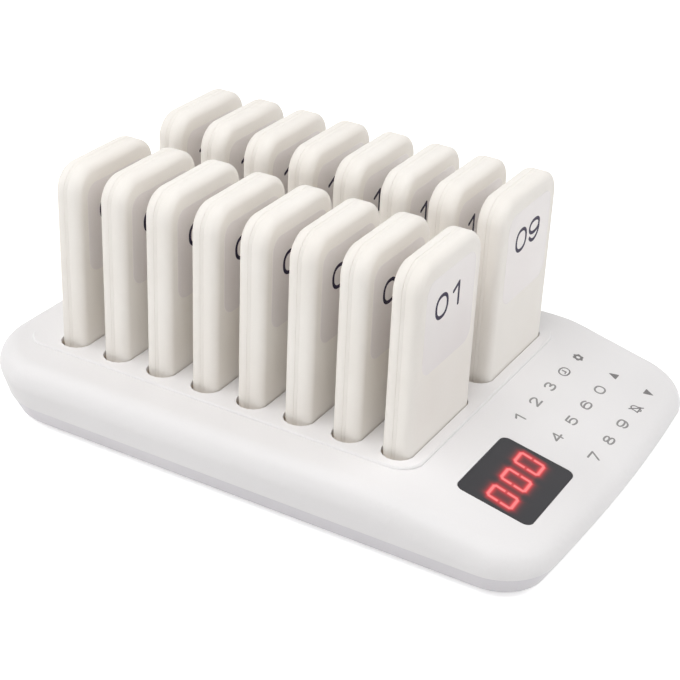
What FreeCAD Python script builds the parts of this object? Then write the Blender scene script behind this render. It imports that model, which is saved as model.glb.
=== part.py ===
"""Guest pager system: a charging base with two rows of eight slots, and sixteen numbered pagers.

Frame: millimetres, +Z up, origin on the table under the middle of the base.
The keypad end faces -Y, and the rows of slots run along Y, one on each side of the middle.
"""
import FreeCAD
import Part
import Sketcher
import math
import os

V = FreeCAD.Vector
NO_TURN = FreeCAD.Rotation()
X_AXIS = V(1, 0, 0)
Z_AXIS = V(0, 0, 1)
ORIGIN_POINT = (-1, 1)
START, END, CENTRE = 1, 2, 3

doc = FreeCAD.newDocument("guest_pager_system")

# Driving dimensions: alias, value, what it is. Lengths in millimetres, angles in degrees.
DIMENSIONS = [
    ("foot_stand", 1.5, "height of the lower shell above the table"),
    ("parting_height", 10.7, "height of the joint between the two housing shells"),
    ("deck_height", 28.7, "height of the deck beside the slots"),
    ("plateau_rise", 0.8, "rise of the plateau around the slots"),
    ("outline_width", 155.4, "width of the housing at the parting plane"),
    ("outline_back", 116.4, "back edge of the outline behind the origin"),
    ("outline_front", 118.8, "foremost point of the outline ahead of the origin"),
    ("back_corner", 28.5, "plan radius of the back corners"),
    ("front_corner", 20.5, "plan radius of the front corners"),
    ("bow_radius", 800.0, "plan radius of the gently bowed front edge"),
    ("upper_draft", 16.7, "outward lean of the upper shell's wall"),
    ("lower_draft", 27.0, "inward lean of the lower shell's wall"),
    ("edge_roll", 8.0, "radius of the rolled upper edge"),
    ("lower_bevel", 1.8, "bevel of the lower shell's bottom edge"),
    ("shell_wall", 2.2, "wall of the upper shell"),
    ("tray_wall", 2.0, "wall and floor of the lower shell"),
    ("crease_ahead", 62.2, "line where the panel leaves the deck, ahead of the origin"),
    ("panel_slope", 11.6, "fall of the control panel"),
    ("crease_blend", 60.0, "radius that blends the deck into the panel"),
    ("plateau_side", 3.9, "plateau beyond the slots' ends"),
    ("plateau_front", 10.6, "plateau ahead of the first slot's middle"),
    ("plateau_back", 18.5, "plateau behind the last slot's middle"),
    ("plateau_corner", 9.0, "plan radius of the plateau"),
    ("plateau_edge", 0.5, "bevel along the plateau's rim"),
    ("slot_count", 8, "slots in a row"),
    ("row_count", 2, "rows of slots"),
    ("slot_pitch", 20.0, "distance from slot to slot along a row"),
    ("row_spacing", 63.1, "distance between the middles of the two rows"),
    ("first_slot_ahead", 52.5, "middle of the first slot ahead of the origin"),
    ("slot_depth", 16.0, "depth of a slot below the plateau"),
    ("slot_end_gap", 2.85, "clearance at each end of a pager in its slot"),
    ("slot_side_gap", 0.4, "clearance at each face of a pager in its slot"),
    ("cup_wall", 1.6, "wall and floor of the moulded cup under a slot"),
    ("floor_window_end", 2.0, "room beyond the blades in a cup's floor opening"),
    ("floor_window_side", 1.6, "room beside the blades in a cup's floor opening"),
    ("pager_width", 47.0, "pager, across"),
    ("pager_thickness", 11.5, "pager, front to back"),
    ("pager_height", 87.6, "pager, bottom to top"),
    ("pager_corner", 9.0, "corner radius of a pager seen from the front"),
    ("slot_corner", 0.99, "corner radius of a slot seen from above as a part of half its width"),
    ("flat_turn", 22.5, "turn from flat to flat around a corner"),
    ("corner_cut", 0.5858, "first cut of a pager's corner as a part of its radius"),
    ("corner_trim", 0.2153, "second cut of a pager's corner as a part of its radius"),
    ("pager_bevel", 2.4, "bevel around a pager's two faces"),
    ("pager_front_depth", 6.7, "depth of a pager's front shell"),
    ("pager_wall", 1.6, "wall of a pager's faces"),
    ("pager_rim", 4.2, "width of the solid rim around a pager's cavity"),
    ("board_thickness", 1.6, "thickness of the two circuit boards in the base"),
    ("pager_board_thickness", 1.0, "thickness of a pager's circuit board"),
    ("pager_board_gap", 0.25, "from a pager's parting plane to its board"),
    ("pager_board_clearance", 0.4, "from a pager's board to the cavity's edge"),
    ("battery_width", 30.0, "pager battery"),
    ("battery_length", 34.0, "pager battery"),
    ("battery_thickness", 3.4, "pager battery"),
    ("battery_height", 12.0, "lower edge of the battery above the pager's bottom"),
    ("motor_length", 11.0, "vibration motor"),
    ("motor_width", 3.6, "vibration motor"),
    ("motor_height", 66.0, "vibration motor above the pager's bottom"),
    ("pad_spacing", 14.0, "distance between a pager's two charging pads"),
    ("pad_length", 6.0, "charging pad, across"),
    ("pad_width", 2.8, "charging pad, front to back"),
    ("pad_recess", 0.2, "charging pad above the pager's bottom face"),
    ("pad_clearance", 0.2, "room around the pads in the pager's shell"),
    ("blade_length", 3.0, "contact blade in a slot, across"),
    ("blade_width", 1.2, "contact blade in a slot, front to back"),
    ("blade_gap", 0.1, "from a contact blade to its pad"),
    ("board_drop", 1.5, "from the cups' floors down to the charging board"),
    ("board_side_gap", 3.0, "from the charging board to the screw bosses"),
    ("board_front_reach", 11.5, "charging board ahead of the first slots' middle"),
    ("board_back_gap", 1.2, "from the charging board to the tray's back wall"),
    ("charging_board_corner", 20.0, "corner radius of the charging board"),
    ("window_width", 38.6, "display window"),
    ("window_length", 29.2, "display window, down the slope"),
    ("window_corner", 3.0, "corner radius of the display window"),
    ("window_thickness", 1.5, "display window"),
    ("window_left", 35.9, "middle of the window left of the origin"),
    ("window_down", 29.1, "middle of the window down the slope from the crease"),
    ("window_gap", 0.15, "clearance around the display window"),
    ("window_ledge", 2.0, "ledge that carries the display window"),
    ("digit_count", 3, "digits of the display"),
    ("digit_pitch", 12.2, "distance from digit to digit"),
    ("digit_block_width", 9.8, "one digit's block, across"),
    ("digit_block_length", 12.8, "one digit's block, down the slope"),
    ("digit_block_height", 7.0, "one digit's block, deep"),
    ("control_board_gap", 2.0, "from the control board to the screw bosses"),
    ("control_board_top", 4.0, "control board's upper edge down the slope from the crease"),
    ("control_board_end", 50.0, "control board's lower edge down the slope from the crease"),
    ("standoff_size", 5.0, "square posts that carry the control board"),
    ("standoff_margin", 3.5, "middle of a post from the control board's edges"),
    ("key_columns", 5, "touch areas across"),
    ("key_rows", 3, "touch areas down the slope"),
    ("key_pitch_across", 13.4, "touch areas, across"),
    ("key_pitch_down", 15.35, "touch areas, down the slope"),
    ("first_key_left", 2.0, "first column of touch areas left of the middle"),
    ("first_key_down", 14.25, "first row of touch areas down the slope from the crease"),
    ("key_pad_size", 6.0, "sensing pad under a touch area"),
    ("processor_size", 12.0, "processor on the control board"),
    ("processor_height", 1.4, "processor on the control board"),
    ("radio_size", 17.0, "radio module on the control board"),
    ("radio_height", 2.6, "radio module on the control board"),
    ("radio_right", 34.0, "radio module right of the middle"),
    ("buzzer_radius", 4.8, "buzzer on the control board"),
    ("buzzer_height", 4.5, "buzzer on the control board"),
    ("buzzer_left", 30.0, "buzzer left of the middle"),
    ("part_down", 19.0, "parts on the control board down the slope from the crease"),
    ("screw_side_inset", 10.7, "housing screws from the side of the outline"),
    ("screw_front_inset", 28.8, "front screws from the foremost point of the outline"),
    ("screw_back_inset", 24.4, "back screws from the back of the outline"),
    ("boss_size", 8.0, "square screw boss"),
    ("screw_radius", 1.5, "screw shank"),
    ("screw_bite", 7.2, "screw's length in the upper boss"),
    ("screw_head_radius", 3.0, "screw head"),
    ("screw_head_height", 2.0, "screw head"),
    ("screw_sink", 3.0, "depth of the counterbore for a screw head"),
    ("screw_clearance", 0.3, "room around a screw"),
    ("board_post_size", 7.0, "square posts that carry the charging board"),
    ("board_post_side", 6.0, "middle of a post from the charging board's side edge"),
    ("board_post_back", 24.0, "back posts from the charging board's back edge"),
    ("board_post_front", 8.0, "front posts from the charging board's front edge"),
    ("foot_radius", 6.5, "rubber foot"),
    ("foot_side_inset", 23.7, "feet from the side of the outline"),
    ("foot_front_inset", 22.8, "front feet from the foremost point of the outline"),
    ("foot_back_inset", 18.4, "back feet from the back of the outline"),
    ("jack_width", 9.0, "DC jack"),
    ("jack_height", 11.0, "DC jack"),
    ("jack_length", 13.5, "DC jack"),
    ("jack_axis_height", 5.6, "DC jack's axis above the charging board"),
    ("jack_gap", 0.3, "from the DC jack's face to the back wall"),
    ("jack_barrel_radius", 3.9, "barrel of the DC jack"),
    ("jack_barrel_length", 3.8, "barrel of the DC jack"),
    ("jack_bore_radius", 2.9, "bore of the DC jack"),
    ("jack_bore_depth", 10.0, "bore of the DC jack"),
    ("jack_pin_radius", 1.0, "centre pin of the DC jack"),
    ("jack_hole_radius", 4.2, "hole in the housing around the jack's barrel"),
    ("antenna_radius", 2.5, "sleeved spring antenna"),
    ("antenna_length", 14.0, "sleeved spring antenna"),
    ("antenna_side", 14.0, "antenna from the charging board's left edge"),
    ("antenna_back", 9.0, "antenna from the charging board's back edge"),
]

sheet = doc.addObject("Spreadsheet::Sheet", "dims")
for row, (alias, size, meaning) in enumerate(DIMENSIONS, start=1):
    sheet.set(f"A{row}", alias)
    sheet.set(f"B{row}", str(size))
    sheet.set(f"C{row}", meaning)
    sheet.setAlias(f"B{row}", alias)
doc.recompute()

# Sizes that several pieces share, each an expression on the sheet.
RIM_HEIGHT = "(dims.deck_height + dims.plateau_rise)"
SLOT_LENGTH = "(dims.pager_width + 2 * dims.slot_end_gap)"
SLOT_WIDTH = "(dims.pager_thickness + 2 * dims.slot_side_gap)"
SLOT_FLOOR = f"({RIM_HEIGHT} - dims.slot_depth)"
CUP_BOTTOM = f"({SLOT_FLOOR} - dims.cup_wall)"
BOARD_TOP = f"({CUP_BOTTOM} - dims.board_drop)"
ROW_LENGTH = "((dims.slot_count - 1) * dims.slot_pitch)"
TRAY_FLOOR = "(dims.foot_stand + dims.tray_wall)"
MODULE_DEPTH = "(dims.window_thickness + dims.digit_block_height)"
PAGER_PARTING = "(dims.pager_front_depth - dims.pager_thickness / 2)"
PAD_BACK = f"({PAGER_PARTING} - dims.pad_clearance / 2)"
PAD_MIDDLE = f"({PAD_BACK} - dims.pad_width / 2)"
WALL_INSET = "(dims.shell_wall / cos(dims.upper_draft * 1 deg))"
SCREW_X = "(dims.outline_width / 2 - dims.screw_side_inset)"
SCREW_FRONT = "(dims.screw_front_inset - dims.outline_front)"
SCREW_BACK = "(dims.outline_back - dims.screw_back_inset)"
BOARD_HALF = f"({SCREW_X} - dims.boss_size / 2 - dims.board_side_gap)"
BOARD_FRONT = "(-dims.first_slot_ahead - dims.board_front_reach)"
TRAY_WALL_INSET = "(dims.tray_wall / cos(dims.lower_draft * 1 deg))"
CONTROL_HALF = f"({SCREW_X} - dims.boss_size / 2 - dims.control_board_gap)"
OVERRUN = 5.0


def tray_inset(height):
    """Inner face of the tray's leaning wall, in from the outline, at a height."""
    fall = f"max(0; dims.parting_height - {height})"
    return f"({TRAY_WALL_INSET} + {fall} * tan(dims.lower_draft * 1 deg))"


BOARD_UNDERSIDE = f"({BOARD_TOP} - dims.board_thickness)"
BOARD_BACK = f"(dims.outline_back - {tray_inset(BOARD_UNDERSIDE)} - dims.board_back_gap)"
JACK_FACE = f"(dims.outline_back - max({WALL_INSET}; {tray_inset(BOARD_TOP)}) - dims.jack_gap)"


def value(expression):
    """Number that an expression on the sheet gives now."""
    result = sheet.evalExpression(expression)
    return float(getattr(result, "Value", result))


def origin_part(body, role):
    """One of a body's own origin planes or axes."""
    return next(item for item in body.Origin.OriginFeatures if item.Role == role)


def new_body(name):
    """Empty body whose Label names its file."""
    body = doc.addObject("PartDesign::Body", name)
    body.Label = name
    return body


def new_sketch(body, name, plane="XY_Plane", height=None, panel=False):
    """Sketch on an origin plane, lifted by an expression, or lying in the sloped panel's plane."""
    sketch = body.newObject("Sketcher::SketchObject", name)
    sketch.AttachmentSupport = [(origin_part(body, plane), "")]
    sketch.MapMode = "FlatFace"
    if panel:
        tilt = FreeCAD.Rotation(X_AXIS, value("dims.panel_slope"))
        sketch.AttachmentOffset = FreeCAD.Placement(V(0, 0, 0), tilt)
        sketch.setExpression("AttachmentOffset.Rotation.Angle", "dims.panel_slope")
        sketch.setExpression("AttachmentOffset.Base.y", "-dims.crease_ahead")
        sketch.setExpression("AttachmentOffset.Base.z", "dims.deck_height")
        if height:
            sketch.setExpression(
                "AttachmentOffset.Base.y",
                f"-dims.crease_ahead - ({height}) * sin(dims.panel_slope * 1 deg)")
            sketch.setExpression(
                "AttachmentOffset.Base.z",
                f"dims.deck_height + ({height}) * cos(dims.panel_slope * 1 deg)")
    elif height:
        sketch.setExpression("AttachmentOffset.Base.z", height)
    return sketch


def bind(sketch, kind, parts, expression):
    """Dimension constraint on parts of the sketch, bound to an expression."""
    number = value(expression)
    if kind == "Angle":
        number = math.radians(number)
    index = sketch.addConstraint(Sketcher.Constraint(kind, *parts, number))
    sketch.setExpression(f"Constraints[{index}]", expression)


def join_loop(sketch, indices, smooth):
    """Joins each piece's end to the next one's start, tangent where smooth."""
    kind = "Tangent" if smooth else "Coincident"
    for here, after in zip(indices, indices[1:] + indices[:1]):
        sketch.addConstraint(Sketcher.Constraint(kind, here, END, after, START))


def arc(middle, radius, start, stop):
    """Arc from one angle to another, in degrees, counted anticlockwise."""
    circle = Part.Circle(middle, Z_AXIS, radius)
    return Part.ArcOfCircle(circle, math.radians(start), math.radians(stop))


def rectangle(sketch, width, length, mid_x="0", mid_y="0"):
    """Rectangle about a middle point."""
    half_x, half_y = value(width) / 2, value(length) / 2
    x, y = value(mid_x), value(mid_y)
    corners = [V(x - half_x, y - half_y, 0), V(x + half_x, y - half_y, 0),
               V(x + half_x, y + half_y, 0), V(x - half_x, y + half_y, 0)]
    first = sketch.GeometryCount
    for here, after in zip(corners, corners[1:] + corners[:1]):
        sketch.addGeometry(Part.LineSegment(here, after), False)
    join_loop(sketch, [first, first + 1, first + 2, first + 3], smooth=False)
    for flat, upright in ((first, first + 1), (first + 2, first + 3)):
        sketch.addConstraint(Sketcher.Constraint("Horizontal", flat))
        sketch.addConstraint(Sketcher.Constraint("Vertical", upright))
    bind(sketch, "DistanceX", (first, START, first, END), width)
    bind(sketch, "DistanceY", (first + 1, START, first + 1, END), length)
    bind(sketch, "DistanceX", (*ORIGIN_POINT, first, START), f"{mid_x} - {width} / 2")
    bind(sketch, "DistanceY", (*ORIGIN_POINT, first, START), f"{mid_y} - {length} / 2")


def rounded_rectangle(sketch, width, length, corner, mid_x="0", mid_y="0"):
    """Rectangle about a middle point, with four equal corner arcs."""
    half_x, half_y, r = value(width) / 2, value(length) / 2, value(corner)
    x, y = value(mid_x), value(mid_y)
    in_x, in_y = half_x - r, half_y - r
    first = sketch.GeometryCount
    sketch.addGeometry([
        Part.LineSegment(V(x - in_x, y - half_y, 0), V(x + in_x, y - half_y, 0)),
        arc(V(x + in_x, y - in_y, 0), r, -90, 0),
        Part.LineSegment(V(x + half_x, y - in_y, 0), V(x + half_x, y + in_y, 0)),
        arc(V(x + in_x, y + in_y, 0), r, 0, 90),
        Part.LineSegment(V(x + in_x, y + half_y, 0), V(x - in_x, y + half_y, 0)),
        arc(V(x - in_x, y + in_y, 0), r, 90, 180),
        Part.LineSegment(V(x - half_x, y + in_y, 0), V(x - half_x, y - in_y, 0)),
        arc(V(x - in_x, y - in_y, 0), r, 180, 270),
    ], False)
    loop = list(range(first, first + 8))
    bottom, _, right, _, top, _, left, _ = loop
    join_loop(sketch, loop, smooth=True)
    for flat, upright in ((bottom, right), (top, left)):
        sketch.addConstraint(Sketcher.Constraint("Horizontal", flat))
        sketch.addConstraint(Sketcher.Constraint("Vertical", upright))
    for other in loop[3::2]:
        sketch.addConstraint(Sketcher.Constraint("Equal", loop[1], other))
    bind(sketch, "Radius", (loop[1],), corner)
    bind(sketch, "DistanceX", (left, START, right, START), width)
    bind(sketch, "DistanceY", (bottom, START, top, START), length)
    bind(sketch, "DistanceX", (*ORIGIN_POINT, left, START), f"{mid_x} - {width} / 2")
    bind(sketch, "DistanceY", (*ORIGIN_POINT, bottom, START), f"{mid_y} - {length} / 2")


def flat_cornered(sketch, length, width, radius, mid_x, mid_y):
    """Outline of a length along X and a width, whose corners are three flats around a radius."""
    reach = f"({radius} / cos(dims.flat_turn / 2 * 1 deg))"
    corners = []
    for quarter, (side_x, side_y) in enumerate(((1, 1), (-1, 1), (-1, -1), (1, -1))):
        for step in range(4):
            turn = f"((90 * {quarter} + dims.flat_turn * ({step} + 0.5)) * 1 deg)"
            corners.append((
                f"{mid_x} + {side_x} * ({length} / 2 - {radius}) + {reach} * cos({turn})",
                f"{mid_y} + {side_y} * ({width} / 2 - {radius}) + {reach} * sin({turn})"))
    points = [V(value(x), value(y), 0) for x, y in corners]
    first = sketch.GeometryCount
    for here, after in zip(points, points[1:] + points[:1]):
        sketch.addGeometry(Part.LineSegment(here, after), False)
    join_loop(sketch, list(range(first, first + len(points))), smooth=False)
    for index, (x, y) in enumerate(corners):
        bind(sketch, "DistanceX", (*ORIGIN_POINT, first + index, START), x)
        bind(sketch, "DistanceY", (*ORIGIN_POINT, first + index, START), y)


def circle(sketch, radius, mid_x, mid_y):
    """Full circle about a point."""
    index = sketch.addGeometry(
        Part.Circle(V(value(mid_x), value(mid_y), 0), Z_AXIS, value(radius)), False)
    bind(sketch, "Radius", (index,), radius)
    bind(sketch, "DistanceX", (*ORIGIN_POINT, index, CENTRE), mid_x)
    bind(sketch, "DistanceY", (*ORIGIN_POINT, index, CENTRE), mid_y)


def housing_outline(sketch, inset="0"):
    """Plan of the housing: straight sides and back, round corners and a gently bowed front,
    all moved inwards by the inset. The loop starts at the bow."""
    wide = f"(dims.outline_width / 2 - {inset})"
    back = f"(dims.outline_back - {inset})"
    front = f"(dims.outline_front - {inset})"
    back_r = f"(dims.back_corner - {inset})"
    front_r = f"(dims.front_corner - {inset})"
    bow_r = f"(dims.bow_radius - {inset})"
    w, b, f, rb, rf, bow = (value(e) for e in (wide, back, front, back_r, front_r, bow_r))
    bow_middle = V(0, bow - f, 0)
    corner_x = w - rf
    lean = math.degrees(math.asin(corner_x / (bow - rf)))
    corner_y = bow_middle.y - (bow - rf) * math.cos(math.radians(lean))
    sketch.addGeometry([
        arc(bow_middle, bow, 270 - lean, 270 + lean),
        arc(V(corner_x, corner_y, 0), rf, 270 + lean, 360),
        Part.LineSegment(V(w, corner_y, 0), V(w, b - rb, 0)),
        arc(V(w - rb, b - rb, 0), rb, 0, 90),
        Part.LineSegment(V(w - rb, b, 0), V(rb - w, b, 0)),
        arc(V(rb - w, b - rb, 0), rb, 90, 180),
        Part.LineSegment(V(-w, b - rb, 0), V(-w, corner_y, 0)),
        arc(V(-corner_x, corner_y, 0), rf, 180, 270 - lean),
    ], False)
    bowed, front_right, right, back_right, rear, back_left, left, front_left = range(8)
    join_loop(sketch, list(range(8)), smooth=True)
    sketch.addConstraint(Sketcher.Constraint("Vertical", right))
    sketch.addConstraint(Sketcher.Constraint("Vertical", left))
    sketch.addConstraint(Sketcher.Constraint("Horizontal", rear))
    sketch.addConstraint(Sketcher.Constraint("Equal", back_right, back_left))
    sketch.addConstraint(Sketcher.Constraint("Equal", front_left, front_right))
    bind(sketch, "Radius", (back_right,), back_r)
    bind(sketch, "Radius", (front_left,), front_r)
    bind(sketch, "Radius", (bowed,), bow_r)
    bind(sketch, "DistanceX", (*ORIGIN_POINT, right, START), wide)
    bind(sketch, "DistanceX", (left, START, right, START), f"2 * {wide}")
    bind(sketch, "DistanceY", (*ORIGIN_POINT, rear, START), back)
    bind(sketch, "DistanceY", (*ORIGIN_POINT, bowed, CENTRE), f"{bow_r} - {front}")


def top_profile(sketch, sink="0"):
    """Side view of what is cut away above the deck and the sloped panel: the deck's height,
    a tangent blend and the falling line, all sunk by the same distance."""
    radius = f"(dims.crease_blend - {sink})"
    height = f"(dims.deck_height - {sink})"
    start_y = "(dims.crease_blend * tan(dims.panel_slope / 2 * 1 deg) - dims.crease_ahead)"
    slope = value("dims.panel_slope")
    r, z, y = value(radius), value(height), value(start_y)
    far_y = -value("dims.outline_front") - 4 * OVERRUN
    top_z = value("dims.deck_height") + OVERRUN
    middle = V(y, z - r, 0)
    foot = middle + V(-math.sin(math.radians(slope)), math.cos(math.radians(slope)), 0) * r
    low = V(far_y, foot.y - (foot.x - far_y) * math.tan(math.radians(slope)), 0)
    sketch.addGeometry([
        arc(middle, r, 90, 90 + slope),
        Part.LineSegment(low, foot),
        Part.LineSegment(V(far_y, top_z, 0), low),
        Part.LineSegment(V(y, top_z, 0), V(far_y, top_z, 0)),
        Part.LineSegment(V(y, z, 0), V(y, top_z, 0)),
    ], False)
    blend, fall, front, top, back = range(5)
    sketch.addConstraint(Sketcher.Constraint("Tangent", blend, END, fall, END))
    for here, after in ((front, fall), (top, front), (back, top)):
        sketch.addConstraint(Sketcher.Constraint("Coincident", here, END, after, START))
    sketch.addConstraint(Sketcher.Constraint("Coincident", back, START, blend, START))
    sketch.addConstraint(Sketcher.Constraint("Vertical", front))
    sketch.addConstraint(Sketcher.Constraint("Vertical", back))
    sketch.addConstraint(Sketcher.Constraint("Horizontal", top))
    sketch.addConstraint(Sketcher.Constraint("Vertical", blend, CENTRE, blend, START))
    bind(sketch, "Angle", (fall,), "dims.panel_slope")
    bind(sketch, "Radius", (blend,), radius)
    bind(sketch, "DistanceX", (*ORIGIN_POINT, blend, START), start_y)
    bind(sketch, "DistanceY", (*ORIGIN_POINT, blend, START), height)
    bind(sketch, "DistanceX", (*ORIGIN_POINT, front, START),
         f"-dims.outline_front - {4 * OVERRUN}")
    bind(sketch, "DistanceY", (*ORIGIN_POINT, front, START), f"dims.deck_height + {OVERRUN}")


def pad(body, sketch, length, reverse=False, draft=None):
    """Adds the sketch's area, carried along its normal."""
    feature = body.newObject("PartDesign::Pad", sketch.Name + "_pad")
    feature.Profile = sketch
    feature.Reversed = reverse
    feature.setExpression("Length", length)
    if draft:
        feature.setExpression("TaperAngle", draft)
    doc.recompute()
    return feature


def pocket(body, sketch, length=None, reverse=False, draft=None):
    """Cuts the sketch's area against its normal, both ways through all where no length is given.
    A cut that removes nothing is an error."""
    before = body.Shape.Volume
    feature = body.newObject("PartDesign::Pocket", sketch.Name + "_pocket")
    feature.Profile = sketch
    feature.Reversed = reverse
    if length:
        feature.setExpression("Length", length)
    else:
        feature.Type = "ThroughAll"
        feature.Midplane = True
    if draft:
        feature.setExpression("TaperAngle", draft)
    doc.recompute()
    if feature.Shape.Volume >= before:
        raise RuntimeError(f"{feature.Name} cuts nothing")
    return feature


def round_edges(body, base, chosen, radius, kind="Fillet", size="Radius"):
    """Fillet or chamfer on the chosen edges of the last feature."""
    names = [f"Edge{i}" for i, edge in enumerate(base.Shape.Edges, start=1) if chosen(edge)]
    feature = body.newObject(f"PartDesign::{kind}", f"{base.Name}_{kind.lower()}")
    feature.Base = (base, names)
    feature.setExpression(size, radius)
    doc.recompute()
    return feature


def middle_of(edge):
    """Point half-way along an edge."""
    return edge.valueAt((edge.FirstParameter + edge.LastParameter) / 2)


def lowest(edge):
    """Lowest height that an edge reaches."""
    return edge.BoundBox.ZMin


def drafted_cover(name, inset, sink, drop, kind, size, edge_size):
    """Body of the upper shell's outer form, or of its cavity where it is inset and sunk: the
    drafted outline, cut off by the deck and the panel, with its upper edge rolled or bevelled."""
    body = new_body(name)
    outline = new_sketch(body, name + "_outline", height=f"dims.parting_height - {drop}")
    housing_outline(outline, f"({inset} + {drop} * tan(dims.upper_draft * 1 deg))")
    height = f"dims.deck_height - {sink} - dims.parting_height + {drop}"
    pad(body, outline, height, draft="dims.upper_draft")
    profile = new_sketch(body, name + "_profile", plane="YZ_Plane")
    top_profile(profile, sink)
    cut = pocket(body, profile)
    floor = value(f"dims.parting_height - {drop}")
    side_reach = value("dims.outline_width") / 2 - value("dims.back_corner")

    def on_rim(edge):
        """An edge of the rim stands clear of the outline's plane, and isn't a line across the
        top between the deck, the blend and the panel."""
        box = edge.BoundBox
        across = box.YLength < 1e-6 and box.XLength > side_reach
        at_back = middle_of(edge).y > value("dims.outline_back") - value("dims.back_corner")
        return box.ZMin > floor + 0.05 and (not across or at_back)

    round_edges(body, cut, on_rim, edge_size, kind, size)
    return body


def slot_pattern(body, originals):
    """Repeats features made at the first slot of the left row over both rows."""
    pattern = body.newObject("PartDesign::MultiTransform", "slots")
    along = body.newObject("PartDesign::LinearPattern", "slots_along_row")
    along.Direction = (origin_part(body, "Y_Axis"), [""])
    along.setExpression("Length", ROW_LENGTH)
    along.setExpression("Occurrences", "dims.slot_count")
    across = body.newObject("PartDesign::LinearPattern", "slots_across_rows")
    across.Direction = (origin_part(body, "X_Axis"), [""])
    across.setExpression("Length", "(dims.row_count - 1) * dims.row_spacing")
    across.setExpression("Occurrences", "dims.row_count")
    pattern.Originals = originals
    pattern.Transformations = [along, across]
    body.Tip = pattern
    doc.recompute()
    return pattern


FIRST_SLOT_X = "-dims.row_spacing / 2"
FIRST_SLOT_Y = "-dims.first_slot_ahead"
SCREW_POINTS = [(f"{side} * {SCREW_X}", y) for side in (-1, 1) for y in (SCREW_FRONT, SCREW_BACK)]
FOOT_X = "(dims.outline_width / 2 - dims.foot_side_inset)"
FOOT_POINTS = [(f"{side} * {FOOT_X}", y) for side in (-1, 1)
               for y in ("dims.foot_front_inset - dims.outline_front",
                         "dims.outline_back - dims.foot_back_inset")]
WINDOW_X = "-dims.window_left"
WINDOW_Y = "-dims.window_down"
JACK_AXIS = f"({BOARD_TOP} + dims.jack_axis_height)"


def jack_opening(body):
    """Hole in the back wall around the DC jack's barrel."""
    hole = new_sketch(body, body.Label + "_jack_hole", plane="XZ_Plane",
                      height=f"-{JACK_FACE} - dims.jack_barrel_length - {OVERRUN}")
    circle(hole, "dims.jack_hole_radius", "0", JACK_AXIS)
    pocket(body, hole, f"dims.jack_barrel_length + {OVERRUN}", reverse=True)


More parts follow.
